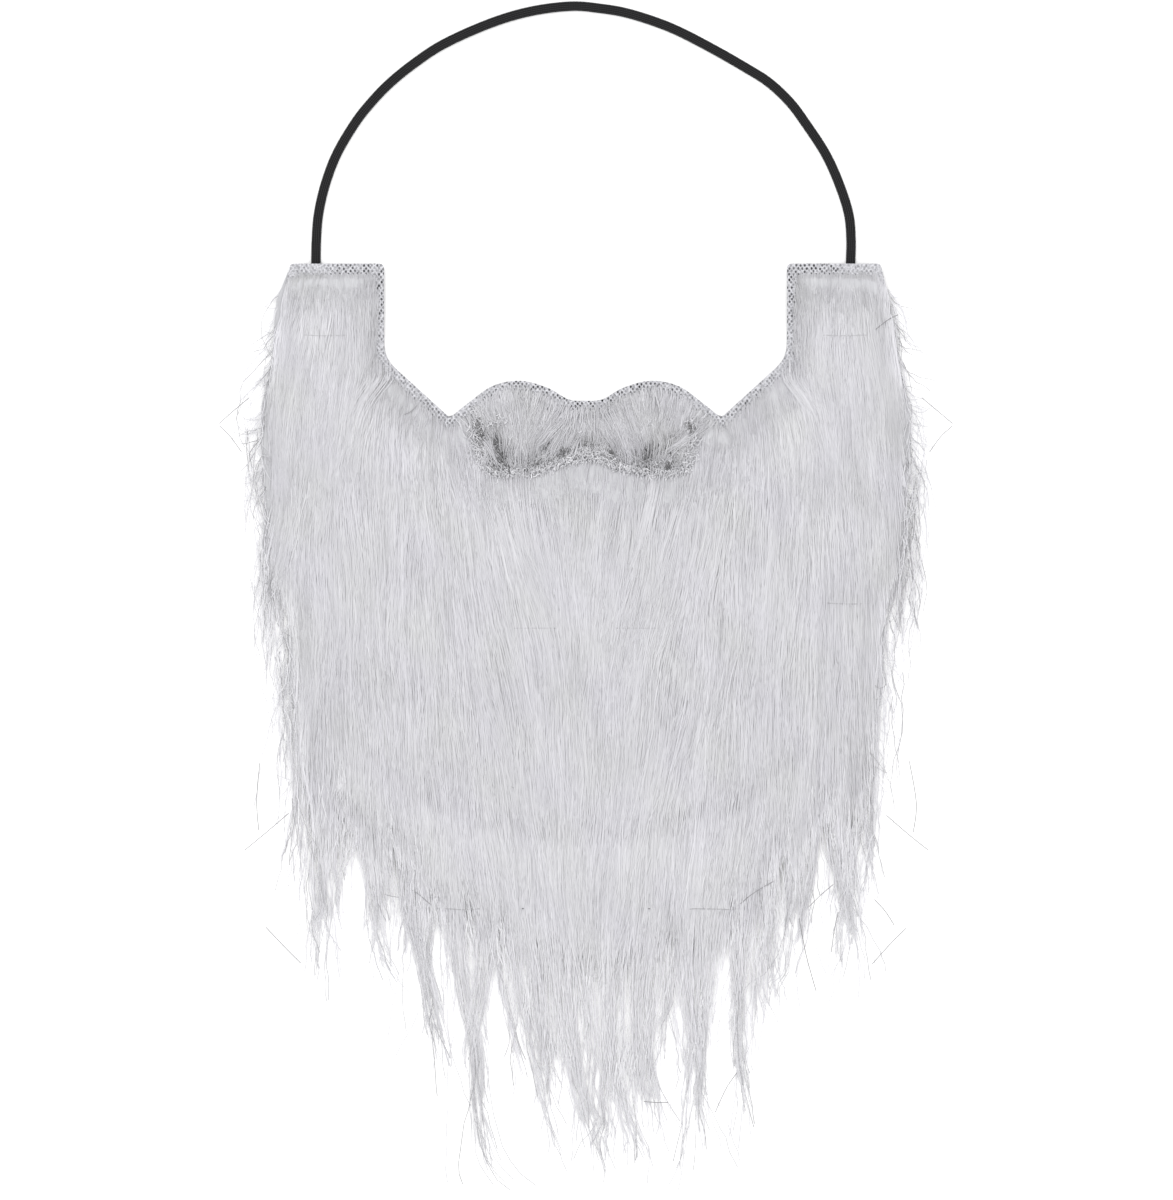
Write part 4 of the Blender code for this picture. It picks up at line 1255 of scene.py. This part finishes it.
def make_moustache(material):
    """Short hair from the humps, curls with painted shade in the mouth, and light locks across it.
    """
    random = np.random.default_rng(MOUSTACHE_SEED)
    pile = Pile("hair_moustache")
    count, steps = 5600, 6
    roots = scattered(count, moustache_chance, random, (-0.058, 0.045), (0.058, 0.0755))
    edge = nearest(folded(roots), FACE_EDGE)[0]
    lengths = random.uniform(0.007, 0.017, count) * (0.7 + 0.5 * ramp(edge, 0, 0.010))
    trial = grow(roots, lengths, steps, lie_of_moustache, np.zeros(count), random, 0.0)
    blocked = mouth_shade_at(trial) > random.uniform(0.05, 0.95, count)[:, None]
    first = np.where(blocked.any(1), blocked.argmax(1) / steps, 1.0)
    lengths *= np.maximum(first, 0.12)
    add_fur(pile, roots, lengths, steps, lie_of_moustache, MOUSTACHE_HAIR, random,
            locks_per_hair=0.25, wobble=0.16, strength=0.20, base=0.738, spread=0.040,
            dark=mouth_shade_at, hang=0.95)

    curls, steps = 8600, 5
    low, high = (-0.052, 0.062), (0.052, 0.0960)

    def bed(points):
        beside = np.maximum(mouth_shade_at(points), near_lip(points) * 0.6)
        return np.maximum(inside(points, SLOT) * 0.70, beside)

    roots = scattered(curls, bed, random, low, high)
    turn = random.normal(0, 0.6, curls)
    lengths = random.uniform(0.0010, 0.0034, curls)
    path = grow(roots, lengths, steps, lie_of_moustache, turn, random, 0.45)
    share = np.linspace(0, 1, steps + 1)[None]
    over = np.where(inside(roots, SLOT), 0.0022, under_height(roots) + 0.0006)[:, None]
    height = over + 0.0016 * random.random(curls)[:, None] + 0.0005 * np.sin(share * math.pi)
    wide = widths(random, curls, CURL_HAIR, 0.6, 1.5, taper(steps + 1, 0.6, 0.4))
    # painted shade: curls in the mouth's shadowed places are drawn dark, the others a little darker
    dark = mouth_shade_at(path[:, :1])
    shadow_curl = random.random(curls)[:, None] < 0.015 + 0.675 * dark
    height += 0.0005 * shadow_curl * dark
    shade = np.where(shadow_curl, 0.46 - 0.26 * dark, 0.83 - 0.08 * dark)
    shade = shade + random.normal(0, 0.05, curls)[:, None] + 0 * share
    roll = random.normal(0, 0.6, (curls, steps + 1))
    pile.add(path, height, wide, roll, shade, WARM_TINT + 0 * shade)

    steps = 8
    for places, width, hairs in CROSSING:
        path = follow(places, width, hairs * 3 // 4, steps, random, 0.003, 0.40, 0.00022, 0.5)
        height = np.maximum(under_height(path), 0.0026)
        height = height + 0.0012 * random.random(len(path))[:, None]
        add_lock(pile, path, height, LOCK_HAIR, taper(steps + 1, 0.4, 0.3),
                 lambda shade: random.normal(0, 0.4, shade.shape), (0.755, 0.04), random)
    return pile.make(material)


def make_edges(material):
    """Loose curled hair that stands out of the beard's sides, and single stray hairs."""
    random = np.random.default_rng(EDGE_SEED)
    pile = Pile("hair_edges")
    groups = [
        # hairs, top, bottom, inset, shortest, shape of the length, its scale, lean, spread, curl,
        # kink, lightness
        (320, 0.010, 0.100, 0.0015, 0.004, 2.2, 0.0082, 36, 26, 0.11, 0.17, 0.87),
        (110, 0.080, 0.232, 0.0020, 0.004, 2.0, 0.0044, 18, 24, 0.10, 0.20, 0.88),
        (270, 0.060, 0.255, -0.0085, 0.018, 2.2, 0.0100, 1, 6, 0.0, 0.17, 0.90),
        (100, 0.095, 0.135, 0.0080, 0.026, 2.0, 0.0110, 1, 5, 0.0, 0.17, 0.90),
    ]
    steps, rings, dark_share = 12, 13, 0.30
    for (count, top, bottom, inset, shortest, shape, scale, lean, spread, curl, kink,
         light) in groups:
        down = random.uniform(top, bottom, count)
        side = np.where(random.random(count) < 0.5, -1.0, 1.0)
        back = random.uniform(-0.3, 1.0, count) * inset
        roots = np.stack([side * (across_at(down, SIDE_EDGE, 1000) - back), down], 1)
        lengths = shortest + random.gamma(shape, scale, count)
        rest = np.radians(random.normal(lean, spread, count)) * side
        turn = random.normal(0, curl, count)
        path = np.empty((count, rings, 2))
        path[:, 0] = roots
        angle = rest.copy()
        for step in range(steps):
            rest = rest + turn
            angle = rest + 0.6 * (angle - rest) + random.normal(0, kink, count)
            path[:, step + 1] = path[:, step] + (lengths / steps)[:, None] * np.stack(
                [np.sin(angle), np.cos(angle)], 1)
        path = path[(np.abs(path[..., 0]) < across_at(path[..., 1], HAIR_REACH, 1000)).all(1)]
        count = len(path)
        share = np.linspace(0, 1, rings)[None]
        height = HAIR_FLOOR + 0.0014 * random.random(count)[:, None]
        height = height + 0.001 * share * random.random(count)[:, None]
        wide = widths(random, count, EDGE_HAIR, 0.7, 1.4, taper(rings, 1.0, 0.6))
        shade = light + random.normal(0, 0.04, count)[:, None] + 0 * share
        dark = (random.random(count) < dark_share)[:, None]
        shade -= dark * random.uniform(0.15, 0.40, count)[:, None]
        pile.add(path, height, wide, random.normal(0, 0.3, (count, rings)), shade,
                 PLAIN_TINT + 0 * shade)

    for places, above, dark in STRAYS:
        line = smooth(spots(places), 6)
        run, marks = np.linspace(0, len(line) - 1, rings), np.arange(len(line))
        path = np.stack([np.interp(run, marks, line[:, axis]) for axis in (0, 1)], -1)[None]
        flat = np.ones((1, rings))
        on_fur = pile_height(path) * inside(path[0], SOLID) + 0.0002
        height = np.maximum(on_fur, flat * above / 1000)
        pile.add(path, height, flat * STRAY_HAIR, flat * 0, flat * (1 - dark), flat * PLAIN_TINT)
    return pile.make(material)


def main():
    """Makes everything, and hides the solid that each piece of hair stands for."""
    make_stage()
    make_elastic(elastic_material())
    make_cloth(cloth_material())
    make_knit(knit_material())
    fur = fur_material()
    hair = [make_mat(mat_material())] + make_face_fur(fur) + [make_body_fur(fur), make_fringe(fur)]
    hair += [make_edges(fur)]
    for piece in hair:
        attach(piece, "root")
        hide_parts("beard_hair")
    piece = make_moustache(fur)
    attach(piece, "root")
    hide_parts("moustache_hair")


main()
